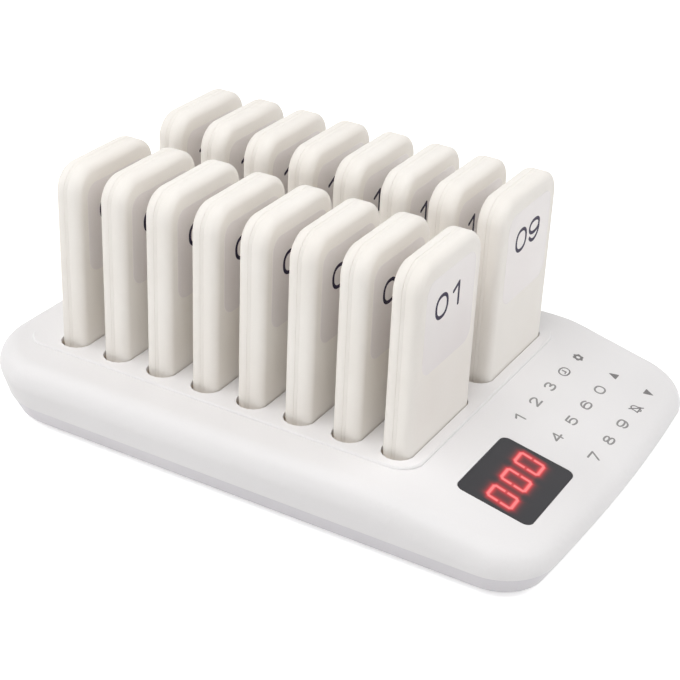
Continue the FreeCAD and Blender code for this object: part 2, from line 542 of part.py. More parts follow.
def build_upper_shell():
    """Moulded cover: rolled rim, sloped panel with the window's seat, plateau, and a cup with a
    contact opening under each slot."""
    body = drafted_cover("upper_shell", "0", "0", "0", "Fillet", "Radius", "dims.edge_roll")
    cavity = drafted_cover("cover_cavity", WALL_INSET, "dims.shell_wall", f"{OVERRUN}",
                           "Chamfer", "Size", "dims.edge_roll / 2")
    hollow = body.newObject("PartDesign::Boolean", "hollow")
    hollow.Type = "Cut"
    hollow.setObjects([cavity])
    doc.recompute()

    raised = new_sketch(body, "plateau", height="dims.deck_height - dims.shell_wall / 2")
    length = f"({ROW_LENGTH} + dims.plateau_front + dims.plateau_back)"
    width = f"((dims.row_count - 1) * dims.row_spacing + {SLOT_LENGTH} + 2 * dims.plateau_side)"
    rounded_rectangle(raised, width, length, "dims.plateau_corner",
                      mid_y=f"({length} / 2 - dims.first_slot_ahead - dims.plateau_front)")
    plateau = pad(body, raised, "dims.shell_wall / 2 + dims.plateau_rise")
    rim = value(RIM_HEIGHT)
    round_edges(body, plateau, lambda edge: lowest(edge) > rim - 1e-4,
                "dims.plateau_edge", kind="Chamfer", size="Size")

    bosses = new_sketch(body, "upper_bosses", height="dims.parting_height")
    for x, y in SCREW_POINTS:
        rectangle(bosses, "dims.boss_size", "dims.boss_size", x, y)
    front_room = f"(-{SCREW_FRONT} - dims.crease_ahead) * tan(dims.panel_slope * 1 deg)"
    boss_top = f"dims.deck_height - dims.shell_wall - {front_room} - dims.parting_height"
    pad(body, bosses, f"{boss_top} + dims.shell_wall / 2")
    rear = new_sketch(body, "rear_bosses", height="dims.parting_height")
    for x, y in SCREW_POINTS[1::2]:
        rectangle(rear, "dims.boss_size", "dims.boss_size", x, y)
    pad(body, rear, "dims.deck_height - dims.parting_height - dims.shell_wall / 2")

    posts = new_sketch(body, "standoffs", panel=True, height=f"-{MODULE_DEPTH}")
    for side in (-1, 1):
        for place in ("-dims.control_board_top - dims.standoff_margin",
                      "-dims.control_board_end + dims.standoff_margin"):
            rectangle(posts, "dims.standoff_size", "dims.standoff_size",
                      f"{side} * ({CONTROL_HALF} - dims.standoff_margin)", f"({place})")
    pad(body, posts, f"{MODULE_DEPTH} - dims.shell_wall / 2")

    seat = new_sketch(body, "window_seat", panel=True)
    rounded_rectangle(seat, "(dims.window_width + 2 * dims.window_gap)",
                      "(dims.window_length + 2 * dims.window_gap)",
                      "(dims.window_corner + dims.window_gap)", WINDOW_X, WINDOW_Y)
    pocket(body, seat, "dims.window_thickness")
    opening = new_sketch(body, "window_opening", panel=True)
    rectangle(opening, "(dims.window_width - 2 * dims.window_ledge)",
              "(dims.window_length - 2 * dims.window_ledge)", WINDOW_X, WINDOW_Y)
    pocket(body, opening, "2 * dims.shell_wall")

    jack_opening(body)

    cup_sketch = new_sketch(body, "cup", height=CUP_BOTTOM)
    rectangle(cup_sketch, f"({SLOT_LENGTH} + 2 * dims.cup_wall)",
              f"({SLOT_WIDTH} + 2 * dims.cup_wall)", FIRST_SLOT_X, FIRST_SLOT_Y)
    cup = pad(body, cup_sketch, f"dims.deck_height - dims.shell_wall / 2 - {CUP_BOTTOM}")
    slot_sketch = new_sketch(body, "slot", height=RIM_HEIGHT)
    flat_cornered(slot_sketch, SLOT_LENGTH, SLOT_WIDTH, f"(dims.slot_corner * {SLOT_WIDTH} / 2)",
                  FIRST_SLOT_X, FIRST_SLOT_Y)
    slot = pocket(body, slot_sketch, "dims.slot_depth")
    window_sketch = new_sketch(body, "floor_window", height=SLOT_FLOOR)
    rectangle(window_sketch,
              "(dims.pad_spacing + dims.blade_length + 2 * dims.floor_window_end)",
              "(dims.blade_width + 2 * dims.floor_window_side)",
              FIRST_SLOT_X, f"({FIRST_SLOT_Y} + {PAD_MIDDLE})")
    floor_window = pocket(body, window_sketch, "2 * dims.cup_wall")
    slot_pattern(body, [cup, slot, floor_window])
    return body


def build_lower_shell():
    """Tray: inward-leaning wall, bevelled bottom edge, board posts, and counterbored screw bosses."""
    body = new_body("lower_shell")
    outline = new_sketch(body, "tray_outline", height="dims.parting_height")
    housing_outline(outline)
    depth = "dims.parting_height - dims.foot_stand"
    block = pad(body, outline, depth, reverse=True, draft="-dims.lower_draft")
    bottom = value("dims.foot_stand")
    round_edges(body, block, lambda edge: edge.BoundBox.ZMax < bottom + 1e-4,
                "dims.lower_bevel", kind="Chamfer", size="Size")
    inner = new_sketch(body, "tray_inside", height="dims.parting_height")
    housing_outline(inner, TRAY_WALL_INSET)
    pocket(body, inner, f"dims.parting_height - {TRAY_FLOOR}", draft="-dims.lower_draft")
    bosses = new_sketch(body, "lower_bosses", height=f"dims.foot_stand + dims.tray_wall / 2")
    for x, y in SCREW_POINTS:
        rectangle(bosses, "dims.boss_size", "dims.boss_size", x, y)
    pad(body, bosses, "dims.parting_height - dims.foot_stand - dims.tray_wall / 2")
    posts = new_sketch(body, "board_posts", height=f"dims.foot_stand + dims.tray_wall / 2")
    for side in (-1, 1):
        for y in (f"({BOARD_FRONT} + dims.board_post_front)",
                  f"({BOARD_BACK} - dims.board_post_back)"):
            rectangle(posts, "dims.board_post_size", "dims.board_post_size",
                      f"{side} * ({BOARD_HALF} - dims.board_post_side)", y)
    pad(body, posts,
        f"{BOARD_UNDERSIDE} - dims.foot_stand - dims.tray_wall / 2")
    holes = new_sketch(body, "screw_holes", height="dims.foot_stand")
    for x, y in SCREW_POINTS:
        circle(holes, "dims.screw_radius + dims.screw_clearance", x, y)
    pocket(body, holes, "dims.parting_height", reverse=True)
    sinks = new_sketch(body, "screw_sinks", height="dims.foot_stand")
    for x, y in SCREW_POINTS:
        circle(sinks, "dims.screw_head_radius + dims.screw_clearance", x, y)
    pocket(body, sinks, "dims.screw_sink", reverse=True)
    if value(JACK_AXIS) - value("dims.jack_hole_radius") < value("dims.parting_height"):
        jack_opening(body)
    return body


def build_display_window():
    """Smoked plate that lies flush in its seat in the panel."""
    body = new_body("display_window")
    sketch = new_sketch(body, "window_plate", panel=True)
    rounded_rectangle(sketch, "dims.window_width", "dims.window_length", "dims.window_corner",
                      WINDOW_X, WINDOW_Y)
    pad(body, sketch, "dims.window_thickness", reverse=True)
    return body


def place_in_panel(item, x, down, depth):
    """Places a primitive's corner or axis in the panel's plane: right of the middle, down the
    slope from the crease, and a depth below the surface."""
    item.Placement = FreeCAD.Placement(V(0, 0, 0), FreeCAD.Rotation(X_AXIS, 1))
    item.setExpression("Placement.Rotation.Angle", "dims.panel_slope")
    item.setExpression("Placement.Base.x", x)
    cosine = "cos(dims.panel_slope * 1 deg)"
    sine = "sin(dims.panel_slope * 1 deg)"
    item.setExpression(
        "Placement.Base.y", f"-dims.crease_ahead - ({down}) * {cosine} + ({depth}) * {sine}")
    item.setExpression(
        "Placement.Base.z", f"dims.deck_height - ({down}) * {sine} - ({depth}) * {cosine}")


def box(name, length, width, height):
    """Part box with its three edges bound to the sheet."""
    item = doc.addObject("Part::Box", name)
    item.setExpression("Length", length)
    item.setExpression("Width", width)
    item.setExpression("Height", height)
    return item


def cylinder(name, radius, height):
    """Part cylinder with its sizes bound to the sheet."""
    item = doc.addObject("Part::Cylinder", name)
    item.setExpression("Radius", radius)
    item.setExpression("Height", height)
    return item


def place(item, x, y, z):
    """Moves an object to a point given by expressions."""
    item.setExpression("Placement.Base.x", x)
    item.setExpression("Placement.Base.y", y)
    item.setExpression("Placement.Base.z", z)
    return item


def group(name, items):
    """Sub-part made of several separate solids."""
    compound = doc.addObject("Part::Compound", name)
    compound.Label = name
    compound.Links = items
    return compound


def build_display_module():
    """One block for each digit, standing on the control board behind the window."""
    blocks = []
    for index in range(int(value("dims.digit_count"))):
        block = box(f"digit_block_{index + 1}", "dims.digit_block_width",
                    "dims.digit_block_length", "dims.digit_block_height")
        step = f"({index} - (dims.digit_count - 1) / 2) * dims.digit_pitch"
        place_in_panel(block, f"{WINDOW_X} + {step} - dims.digit_block_width / 2",
                       "dims.window_down + dims.digit_block_length / 2", MODULE_DEPTH)
        blocks.append(block)
    return group("display_module", blocks)


def build_control_board():
    """Board parallel to the panel, with the processor, radio module and buzzer under it."""
    depth = f"({MODULE_DEPTH} + dims.board_thickness)"
    board = box("control_board_plate", f"2 * {CONTROL_HALF}",
                "(dims.control_board_end - dims.control_board_top)", "dims.board_thickness")
    place_in_panel(board, f"-{CONTROL_HALF}", "dims.control_board_end", depth)
    processor = box("processor", "dims.processor_size", "dims.processor_size",
                    "dims.processor_height")
    place_in_panel(processor, "-dims.processor_size / 2",
                   "dims.part_down + dims.processor_size / 2",
                   f"{depth} + dims.processor_height")
    radio = box("radio_module", "dims.radio_size", "dims.radio_size", "dims.radio_height")
    place_in_panel(radio, "dims.radio_right - dims.radio_size / 2",
                   "dims.part_down + dims.radio_size / 2", f"{depth} + dims.radio_height")
    buzzer = cylinder("buzzer", "dims.buzzer_radius", "dims.buzzer_height")
    place_in_panel(buzzer, "-dims.buzzer_left", "dims.part_down",
                   f"{depth} + dims.buzzer_height")
    return group("control_board", [board, processor, radio, buzzer])


def build_touch_pads():
    """One sensing pad under each touch area, between the board and the panel's inner face."""
    pads = []
    for row in range(int(value("dims.key_rows"))):
        for column in range(int(value("dims.key_columns"))):
            item = box(f"touch_pad_{row + 1}_{column + 1}", "dims.key_pad_size",
                       "dims.key_pad_size", f"{MODULE_DEPTH} - dims.shell_wall")
            place_in_panel(
                item,
                f"{column} * dims.key_pitch_across - dims.first_key_left - dims.key_pad_size / 2",
                f"dims.first_key_down + {row} * dims.key_pitch_down + dims.key_pad_size / 2",
                MODULE_DEPTH)
            pads.append(item)
    return group("touch_pads", pads)


def build_charging_board():
    """Board under the cups, on the tray's posts."""
    body = new_body("charging_board")
    sketch = new_sketch(body, "charging_outline", height=f"{BOARD_TOP} - dims.board_thickness")
    length = f"({BOARD_BACK} - {BOARD_FRONT})"
    rounded_rectangle(sketch, f"(2 * {BOARD_HALF})", length, "dims.charging_board_corner",
                      mid_y=f"({BOARD_FRONT} + {length} / 2)")
    pad(body, sketch, "dims.board_thickness")
    return body


def slot_places():
    """Middle of each slot as expressions, left row first, front to back."""
    for row in range(int(value("dims.row_count"))):
        for index in range(int(value("dims.slot_count"))):
            yield (f"({FIRST_SLOT_X} + {row} * dims.row_spacing)",
                   f"({FIRST_SLOT_Y} + {index} * dims.slot_pitch)")


def build_charging_contacts():
    """Two upright blades in each slot, from the board to just under the pager's pads."""
    blades = []
    pad_y = f"({PAD_MIDDLE} - dims.blade_width / 2)"
    tip = f"({SLOT_FLOOR} + dims.pad_recess - dims.blade_gap)"
    for x, y in slot_places():
        for side in (-1, 1):
            blade = box(f"blade_{len(blades) + 1:02d}", "dims.blade_length",
                        "dims.blade_width", f"{tip} - {BOARD_TOP}")
            place(blade, f"{x} + {side} * dims.pad_spacing / 2 - dims.blade_length / 2",
                  f"{y} + {pad_y}", BOARD_TOP)
            blades.append(blade)
    return group("charging_contacts", blades)


def build_dc_jack():
    """Moulded block with a barrel that reaches through the back wall, a bore and its pin."""
    block = box("jack_block", "dims.jack_width", "dims.jack_length", "dims.jack_height")
    place(block, "-dims.jack_width / 2", f"{JACK_FACE} - dims.jack_length", BOARD_TOP)
    pieces = []
    for name, radius, length, back in (
            ("jack_barrel", "dims.jack_barrel_radius",
             "dims.jack_barrel_length + dims.jack_length / 2",
             f"{JACK_FACE} - dims.jack_length / 2"),
            ("jack_bore", "dims.jack_bore_radius", "dims.jack_bore_depth",
             f"{JACK_FACE} + dims.jack_barrel_length - dims.jack_bore_depth"),
            ("jack_pin", "dims.jack_pin_radius", "dims.jack_bore_depth",
             f"{JACK_FACE} - dims.jack_bore_depth + dims.jack_barrel_length / 2")):
        item = cylinder(name, radius, length)
        item.Placement = FreeCAD.Placement(V(0, 0, 0), FreeCAD.Rotation(X_AXIS, -90))
        place(item, "0", back, JACK_AXIS)
        pieces.append(item)
    barrel, bore, pin = pieces
    outer = doc.addObject("Part::Fuse", "jack_body")
    outer.Base = block
    outer.Tool = barrel
    bored = doc.addObject("Part::Cut", "jack_bored")
    bored.Base = outer
    bored.Tool = bore
    jack = doc.addObject("Part::Fuse", "dc_jack")
    jack.Label = "dc_jack"
    jack.Base = bored
    jack.Tool = pin
    return jack


def build_antenna():
    """Sleeved spring antenna, standing on the charging board."""
    antenna = cylinder("antenna", "dims.antenna_radius", "dims.antenna_length")
    antenna.Label = "antenna"
    return place(antenna, f"dims.antenna_side - {BOARD_HALF}",
                 f"{BOARD_BACK} - dims.antenna_back", BOARD_TOP)


def build_rubber_feet():
    """Four round feet on the tray's underside."""
    feet = [place(cylinder(f"foot_{i}", "dims.foot_radius", "dims.foot_stand"), x, y, "0")
            for i, (x, y) in enumerate(FOOT_POINTS, start=1)]
    return group("rubber_feet", feet)


def build_housing_screws():
    """Four screws from below, their heads on the counterbores' floors."""
    screws = []
    seat = "(dims.foot_stand + dims.screw_sink)"
    for i, (x, y) in enumerate(SCREW_POINTS, start=1):
        head = place(cylinder(f"screw_head_{i}", "dims.screw_head_radius",
                              "dims.screw_head_height"), x, y, f"{seat} - dims.screw_head_height")
        shank = place(cylinder(f"screw_shank_{i}", "dims.screw_radius",
                               f"dims.parting_height + dims.screw_bite - {seat}"),
                      x, y, seat)
        screw = doc.addObject("Part::Fuse", f"screw_{i}")
        screw.Base = head
        screw.Tool = shank
        screws.append(screw)
    return group("housing_screws", screws)


def pager_shell(name, depth, to_front):
    """Half of a pager's case, from the parting plane to one face: a block whose corners are cut
    twice, so that three flats lie around the corner's radius, with a bevelled face edge and a
    rectangular cavity open at the parting plane."""
    body = new_body(name)
    parting = f"-{PAGER_PARTING}"
    outline = new_sketch(body, name + "_outline", plane="XZ_Plane", height=parting)
    rectangle(outline, "dims.pager_width", "dims.pager_height", mid_y="dims.pager_height / 2")
    block = pad(body, outline, depth, reverse=not to_front)
    cut = round_edges(body, block, lambda edge: edge.BoundBox.YLength > 1,
                      "dims.corner_cut * dims.pager_corner", kind="Chamfer", size="Size")
    trim = round_edges(body, cut, lambda edge: edge.BoundBox.YLength > 1,
                       "dims.corner_trim * dims.pager_corner", kind="Chamfer", size="Size")
    face = value("-dims.pager_thickness / 2" if to_front else "dims.pager_thickness / 2")
    round_edges(body, trim,
                lambda edge: edge.BoundBox.YLength < 1e-4 and abs(middle_of(edge).y - face) < 1e-4,
                "dims.pager_bevel", kind="Chamfer", size="Size")
    cavity = new_sketch(body, name + "_cavity", plane="XZ_Plane", height=parting)
    rectangle(cavity, "(dims.pager_width - 2 * dims.pager_rim)",
              "(dims.pager_height - 2 * dims.pager_rim)", mid_y="dims.pager_height / 2")
    pocket(body, cavity, f"{depth} - dims.pager_wall", reverse=to_front)
    if to_front:
        notch = new_sketch(body, name + "_notch", plane="XZ_Plane", height=parting)
        rectangle(notch, "(dims.pad_spacing + dims.pad_length + 2 * dims.pad_clearance)",
                  "2 * (dims.pager_rim + dims.pager_wall)")
        pocket(body, notch, "dims.pad_width + 1.5 * dims.pad_clearance", reverse=True)
    return body


def pager_electronics(name):
    """Board on the parting plane with the battery and the vibration motor before it, and the two
    charging pads at its lower edge."""
    board_back = f"({PAGER_PARTING} - dims.pager_board_gap)"
    board_front = f"({board_back} - dims.pager_board_thickness)"
    cavity_edge = "(dims.pager_rim + dims.pager_board_clearance)"
    board_width = f"(dims.pager_width - 2 * {cavity_edge})"
    board = place(box(name + "_board", board_width, "dims.pager_board_thickness",
                      f"dims.pager_height - 2 * {cavity_edge}"),
                  f"-{board_width} / 2", board_front, cavity_edge)
    battery = place(box(name + "_battery", "dims.battery_width", "dims.battery_thickness",
                        "dims.battery_length"),
                    "-dims.battery_width / 2", f"{board_front} - dims.battery_thickness",
                    "dims.battery_height")
    motor = place(box(name + "_motor", "dims.motor_length", "dims.motor_width",
                      "dims.motor_width"),
                  f"{board_width} / 2 - dims.motor_length - dims.motor_width",
                  f"{board_front} - dims.motor_width", "dims.motor_height")
    parts = [board, battery, motor]
    for side in (-1, 1):
        parts.append(place(
            box(f"{name}_pad_{side + 2}", "dims.pad_length", "dims.pad_width",
                f"{cavity_edge} - dims.pad_recess"),
            f"{side} * dims.pad_spacing / 2 - dims.pad_length / 2",
            f"{PAD_BACK} - dims.pad_width", "dims.pad_recess"))
    return group(name, parts)


def build_pagers():
    """Sixteen pagers, each of two shells and its electronics, standing in the slots."""
    pieces = []
    back_depth = "(dims.pager_thickness - dims.pager_front_depth)"
    for number, (x, y) in enumerate(slot_places(), start=1):
        name = f"pager_{number:02d}"
        pager = [pager_shell(f"{name}_front_shell", "dims.pager_front_depth", True),
                 pager_shell(f"{name}_back_shell", back_depth, False),
                 pager_electronics(f"{name}_electronics")]
        for piece in pager:
            place(piece, x, y, SLOT_FLOOR)
        pieces += pager
    return pieces


parts = [build_upper_shell(), build_lower_shell(), build_display_window(),
         build_display_module(), build_control_board(), build_touch_pads(),
         build_charging_board(), build_charging_contacts(), build_dc_jack(),
         build_antenna(), build_rubber_feet(), build_housing_screws()]
parts += build_pagers()
doc.recompute()

for item in doc.Objects:
    if "Invalid" in item.State or "Error" in item.State:
        raise RuntimeError(f"{item.Name} failed: {item.State}")
for piece in parts:
    if piece.Shape.isNull() or not piece.Shape.isValid():
        raise RuntimeError(f"{piece.Label} has no valid shape")

os.makedirs("parts", exist_ok=True)
for piece in parts:
    piece.Shape.exportStep(os.path.join("parts", piece.Label + ".step"))
    print(piece.Label, len(piece.Shape.Solids), round(piece.Shape.Volume, 1))
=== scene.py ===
"""Guest pager system: the looks of the charging base and its sixteen numbered pagers.

Metres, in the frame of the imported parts: +Z is up, the keypad end faces -Y and the two rows of
slots run along Y. Sizes written in millimetres are multiplied by MM where a shape is made.
"""
import math
import bpy
import numpy as np
from mathutils import Matrix, Vector


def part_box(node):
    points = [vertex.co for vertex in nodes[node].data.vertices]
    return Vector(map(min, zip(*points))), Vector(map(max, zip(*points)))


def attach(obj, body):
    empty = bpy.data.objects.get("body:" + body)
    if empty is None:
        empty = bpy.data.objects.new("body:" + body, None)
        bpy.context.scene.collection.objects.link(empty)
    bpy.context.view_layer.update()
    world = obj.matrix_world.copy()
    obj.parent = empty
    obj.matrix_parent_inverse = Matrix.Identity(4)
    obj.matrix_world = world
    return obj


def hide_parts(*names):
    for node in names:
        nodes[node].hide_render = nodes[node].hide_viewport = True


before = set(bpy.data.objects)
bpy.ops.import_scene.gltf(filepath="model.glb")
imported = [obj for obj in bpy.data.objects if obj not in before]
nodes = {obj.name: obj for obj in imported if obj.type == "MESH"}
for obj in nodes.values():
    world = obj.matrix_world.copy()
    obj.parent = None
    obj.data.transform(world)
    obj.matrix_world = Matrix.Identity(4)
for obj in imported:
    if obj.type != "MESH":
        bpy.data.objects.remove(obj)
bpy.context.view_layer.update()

MM = 0.001
NO_AREA = 1e-14       # square metres; a face of half this area or less is left out
SAME_PLACE = 2e-6     # metres, within which loose corners are joined
PAGERS, PER_ROW = 16, 8

# Pager, in millimetres. Depths run from its face, and the pads' notch is in its lower side.
WIDTH, THICK, TALL = 47.0, 11.5, 87.6
CORNER = 10.2                        # radius of the outline's corners
FRONT_ROUND, BACK_ROUND = 2.8, 3.6   # radius of the rolled edge of each half
FRONT_DEPTH = 6.7                    # depth of the parting line
GROOVE_AT = 5.3                      # depth of the middle of the groove
RIM, WALL = 4.2, 1.6                 # width of the parting rim, wall behind each face
NOTCH_HALF, NOTCH_FROM = 10.2, 3.6   # half the notch, and the depth where it starts

# Slots, in millimetres: two rows at -SLOT_X and SLOT_X, from FIRST_Y on at every PITCH.
SLOT_X, FIRST_Y, PITCH, SLOT_FLOOR = 31.55, -52.5, 20.0, 13.5

# Control panel, in millimetres: a plane that falls away from the deck at the crease.
CREASE_Y, DECK_Z = -62.2, 28.7
SLOPE = math.radians(11.6)
ALONG_SLOPE = np.array([0.0, -math.cos(SLOPE), -math.sin(SLOPE)])
PANEL_UP = np.array([0.0, -math.sin(SLOPE), math.cos(SLOPE)])


# Surfaces ---------------------------------------------------------------------------------

def outward(points, faces):
    """The faces, turned round if the volume they enclose comes out negative. The volume is a
    sixth of the sum of corner . (corner x corner) over the fans of each face."""
    total = 0.0
    for face in faces:
        corners = points[face]
        for k in range(1, corners.shape[1] - 1):
            total += np.einsum("ij,ij->", corners[:, 0],
                               np.cross(corners[:, k], corners[:, k + 1]))
    return faces if total >= 0 else [face[:, ::-1] for face in faces]


def placed_object(name, data):
    """An object with that data, linked into the scene at the world origin."""
    made = bpy.data.objects.new(name, data)
    bpy.context.scene.collection.objects.link(made)
    return made


def make_piece(name, parts, attributes=None, sharp=35.0):
    """One mesh piece from (points, faces) parts in metres; faces is a list of index arrays.
    Faces without area are left out, and edges steeper than `sharp` degrees stay sharp."""
    corners, sizes, points, base = [], [], [], 0
    for part_points, part_faces in parts:
        for face in outward(part_points, part_faces):
            polygon = part_points[face]
            spread = np.cross(polygon[:, 2] - polygon[:, 0],
                              polygon[:, -1] - polygon[:, 1])
            kept = face[np.linalg.norm(spread, axis=1) > NO_AREA]
            corners.append((kept + base).ravel())
            sizes.append(np.full(len(kept), face.shape[1]))
        points.append(part_points)
        base += len(part_points)
    points, corners, sizes = np.concatenate(points), np.concatenate(corners), np.concatenate(sizes)
    mesh = bpy.data.meshes.new(name)
    mesh.vertices.add(len(points))
    mesh.vertices.foreach_set("co", points.astype(np.float32).ravel())
    mesh.loops.add(len(corners))
    mesh.loops.foreach_set("vertex_index", corners.astype(np.int32))
    mesh.polygons.add(len(sizes))
    starts = np.concatenate([[0], np.cumsum(sizes)[:-1]])
    mesh.polygons.foreach_set("loop_start", starts.astype(np.int32))
    mesh.polygons.foreach_set("use_smooth", np.ones(len(sizes), bool))
    mesh.update(calc_edges=True)
    for key, values in (attributes or {}).items():
        layer = mesh.attributes.new(key, "FLOAT", "POINT")
        layer.data.foreach_set("value", values.astype(np.float32))
    mesh.set_sharp_from_angle(angle=math.radians(sharp))
    mesh.validate()
    return placed_object(name, mesh)


def grid_part(grid, loop_rows=False):
    """(points, faces) of a grid of points [row, column]. Each row closes on itself; with
    loop_rows the last row joins the first, and without it each end row closes on its middle."""
    rows, columns = grid.shape[:2]
    index = np.arange(rows * columns).reshape(rows, columns)
    right = np.roll(index, -1, axis=1)
    if loop_rows:
        below, below_right = np.roll(index, -1, axis=0), np.roll(right, -1, axis=0)
    else:
        index, below = index[:-1], index[1:]
        right, below_right = right[:-1], right[1:]
    quads = np.stack([index, right, below_right, below], axis=-1).reshape(-1, 4)
    points, faces = grid.reshape(-1, 3), [quads]
    if not loop_rows:
        ends = np.stack([grid[0].mean(axis=0), grid[-1].mean(axis=0)])
        first, last = np.arange(columns), np.arange(columns) + (rows - 1) * columns
        top = np.stack([np.full(columns, rows * columns), np.roll(first, -1), first], axis=-1)
        end = np.stack([np.full(columns, rows * columns + 1), last, np.roll(last, -1)], axis=-1)
        points, faces = np.concatenate([points, ends]), [quads, np.concatenate([top, end])]
    return points, faces


def rounded_loop(half_x, half_z, radius, steps, stops=(0.0,)):
    """Core points and outward normals round a rounded rectangle, from the middle of its lower
    side. A point at inset d lies at core + normal * (radius - d). The core is the rectangle
    of the corners' centres; stops are the places of points along the lower side, from -X."""
    reach_x, reach_z = half_x - radius, half_z - radius
    low = np.array(stops)
    right, left = low[low >= 0], low[low < 0]
    turn = np.radians(np.linspace(0.0, 90.0, steps + 1))
    core, normal = [np.stack([right, np.full(len(right), -reach_z)], -1)], []
    normal.append(np.tile([0.0, -1.0], (len(right), 1)))
    for k, (sx, sz) in enumerate([(1, -1), (1, 1), (-1, 1), (-1, -1)]):
        angle = turn + math.pi / 2 * (k - 1)
        core.append(np.tile([sx * reach_x, sz * reach_z], (len(turn), 1)))
        normal.append(np.stack([np.cos(angle), np.sin(angle)], -1))
    core.append(np.stack([left, np.full(len(left), -reach_z)], -1))
    normal.append(np.tile([0.0, -1.0], (len(left), 1)))
    return np.concatenate(core), np.concatenate(normal)


def rolled(radius, steps):
    """Inset and depth along a quarter circle: radius * (1 - sin a), radius * (1 - cos a)."""
    a = np.radians(np.linspace(0.0, 90.0, steps + 1))
    return np.stack([radius * (1 - np.sin(a)), radius * (1 - np.cos(a))], -1)


def turned_part(profile, centre, sides=48):
    """(points, faces) of an upright turned shape: profile rows are (radius, height), and a
    point is centre + (radius cos a, radius sin a, height)."""
    a = np.linspace(0.0, 2 * math.pi, sides, endpoint=False)
    spoke = np.stack([np.cos(a), np.sin(a), np.zeros(sides)], -1)
    radius, height = np.array(profile).T[:, :, None, None]
    return grid_part((np.array(centre) + radius * spoke + height * np.array([0.0, 0.0, 1.0])) * MM)


# Marks: strokes of one width along a path ---------------------------------------------------

CAP_STEPS = 5          # points round half of a stroke's end
STROKE_STEP = 0.003    # millimetres between the tops of a digit's strokes


def bend(cx, cy, rx, ry, start, stop, steps=22):
    """Points on an ellipse, middle + (rx cos a, ry sin a), from one angle to another in degrees."""
    a = np.radians(np.linspace(start, stop, steps))
    return np.stack([cx + rx * np.cos(a), cy + ry * np.sin(a)], -1)


def line(*corners):
    """Points along straight runs, the corners among them."""
    return np.array(corners, float)


def ring(cx, cy, rx, ry, power=2.0, steps=44):
    """Closed loop |x / rx| ** power + |y / ry| ** power = 1."""
    a = np.linspace(0.0, 2 * math.pi, steps, endpoint=False)
    c, s = np.cos(a), np.sin(a)
    return np.stack([cx + rx * np.sign(c) * np.abs(c) ** (2 / power),
                     cy + ry * np.sign(s) * np.abs(s) ** (2 / power)], -1)


def digit_paths(digit):
    """Centre lines of a digit in a box one unit wide and one tall, as (points, closed) pairs.
    A six is the nine turned half round."""
    nine = [(ring(0.0, 0.19, 0.5, 0.31, 2.2), True),
            (bend(-0.02, 0.02, 0.52, 0.52, 18, -143), False)]
    paths = {
        0: [(ring(0.0, 0.0, 0.5, 0.5, 2.3), True)],
        1: [(line((-0.34, 0.24), (0.14, 0.5)), False), (line((0.14, 0.5), (0.14, -0.5)), False)],
        2: [(np.concatenate([bend(0.0, 0.21, 0.44, 0.29, 168, -28), line((-0.46, -0.5))]), False),
            (line((-0.46, -0.5), (0.48, -0.5)), False)],
        3: [(bend(-0.02, 0.26, 0.4, 0.24, 150, -90), False),
            (bend(-0.02, -0.24, 0.47, 0.26, 90, -150), False)],
        4: [(line((0.2, -0.5), (0.2, 0.5)), False), (line((0.2, 0.5), (-0.5, -0.2)), False),
            (line((-0.5, -0.2), (0.5, -0.2)), False)],
        5: [(line((0.42, 0.5), (-0.34, 0.5)), False), (line((-0.34, 0.5), (-0.4, 0.02)), False),
            (bend(-0.02, -0.17, 0.46, 0.33, 145, -150), False)],
        6: [(-points, closed) for points, closed in nine],
        7: [(line((-0.46, 0.5), (0.46, 0.5)), False), (line((0.46, 0.5), (-0.12, -0.5)), False)],
        8: [(ring(0.0, 0.27, 0.38, 0.23), True), (ring(0.0, -0.24, 0.46, 0.26), True)],
        9: nine,
    }
    return paths[digit]


def at_height(path, height, to_space):
    """A plane path taken to space, all of it at one height above its plane."""
    return to_space(np.column_stack([path, np.full(len(path), height)]))


def ribbon_part(path, closed, width, low, high, to_space):
    """(points, faces) of a raised stroke: a strip of that width along a plane path, between the
    heights low and high. At an open end the half width is (width / 2) cos a at the distance
    (width / 2) sin a past the end. to_space takes (across, along, height)."""
    if closed:
        ahead = np.roll(path, -1, axis=0) - np.roll(path, 1, axis=0)
        half = np.full(len(path), width / 2)
    else:
        ahead = np.gradient(path, axis=0) if len(path) > 2 else np.diff(path, axis=0)[[0, 0]]
        ahead /= np.linalg.norm(ahead, axis=1)[:, None]
        cap = np.radians(np.linspace(90.0, 4.0, CAP_STEPS))
        reach = width / 2 * np.sin(cap)[:, None]
        path = np.concatenate([path[:1] - ahead[:1] * reach, path,
                               path[-1:] + ahead[-1:] * reach[::-1]])
        narrow = width / 2 * np.cos(cap)
        half = np.concatenate([narrow, np.full(len(ahead), width / 2), narrow[::-1]])
        ahead = np.concatenate([np.repeat(ahead[:1], CAP_STEPS, 0), ahead,
                                np.repeat(ahead[-1:], CAP_STEPS, 0)])
    ahead = ahead / np.linalg.norm(ahead, axis=1)[:, None]
    side = np.stack([-ahead[:, 1], ahead[:, 0]], -1) * half[:, None]
    edges = [(path + side, low), (path + side, high), (path - side, high), (path - side, low)]
    grid = np.stack([at_height(edge, height, to_space) for edge, height in edges], 1)
    return grid_part(grid, loop_rows=closed)


def digit_parts(digit, size, stroke, middle, low, high, to_space):
    """Strokes of one digit: its unit paths are scaled to size (width, height), less the stroke,
    about its middle. Each is STROKE_STEP higher than the last, so that none share a face."""
    scale = np.array(size) - stroke
    return [ribbon_part(points * scale + np.array(middle), closed, stroke, low,
                        high + STROKE_STEP * k, to_space)
            for k, (points, closed) in enumerate(digit_paths(digit))]


# Shader groups and materials -----------------------------------------------------------------

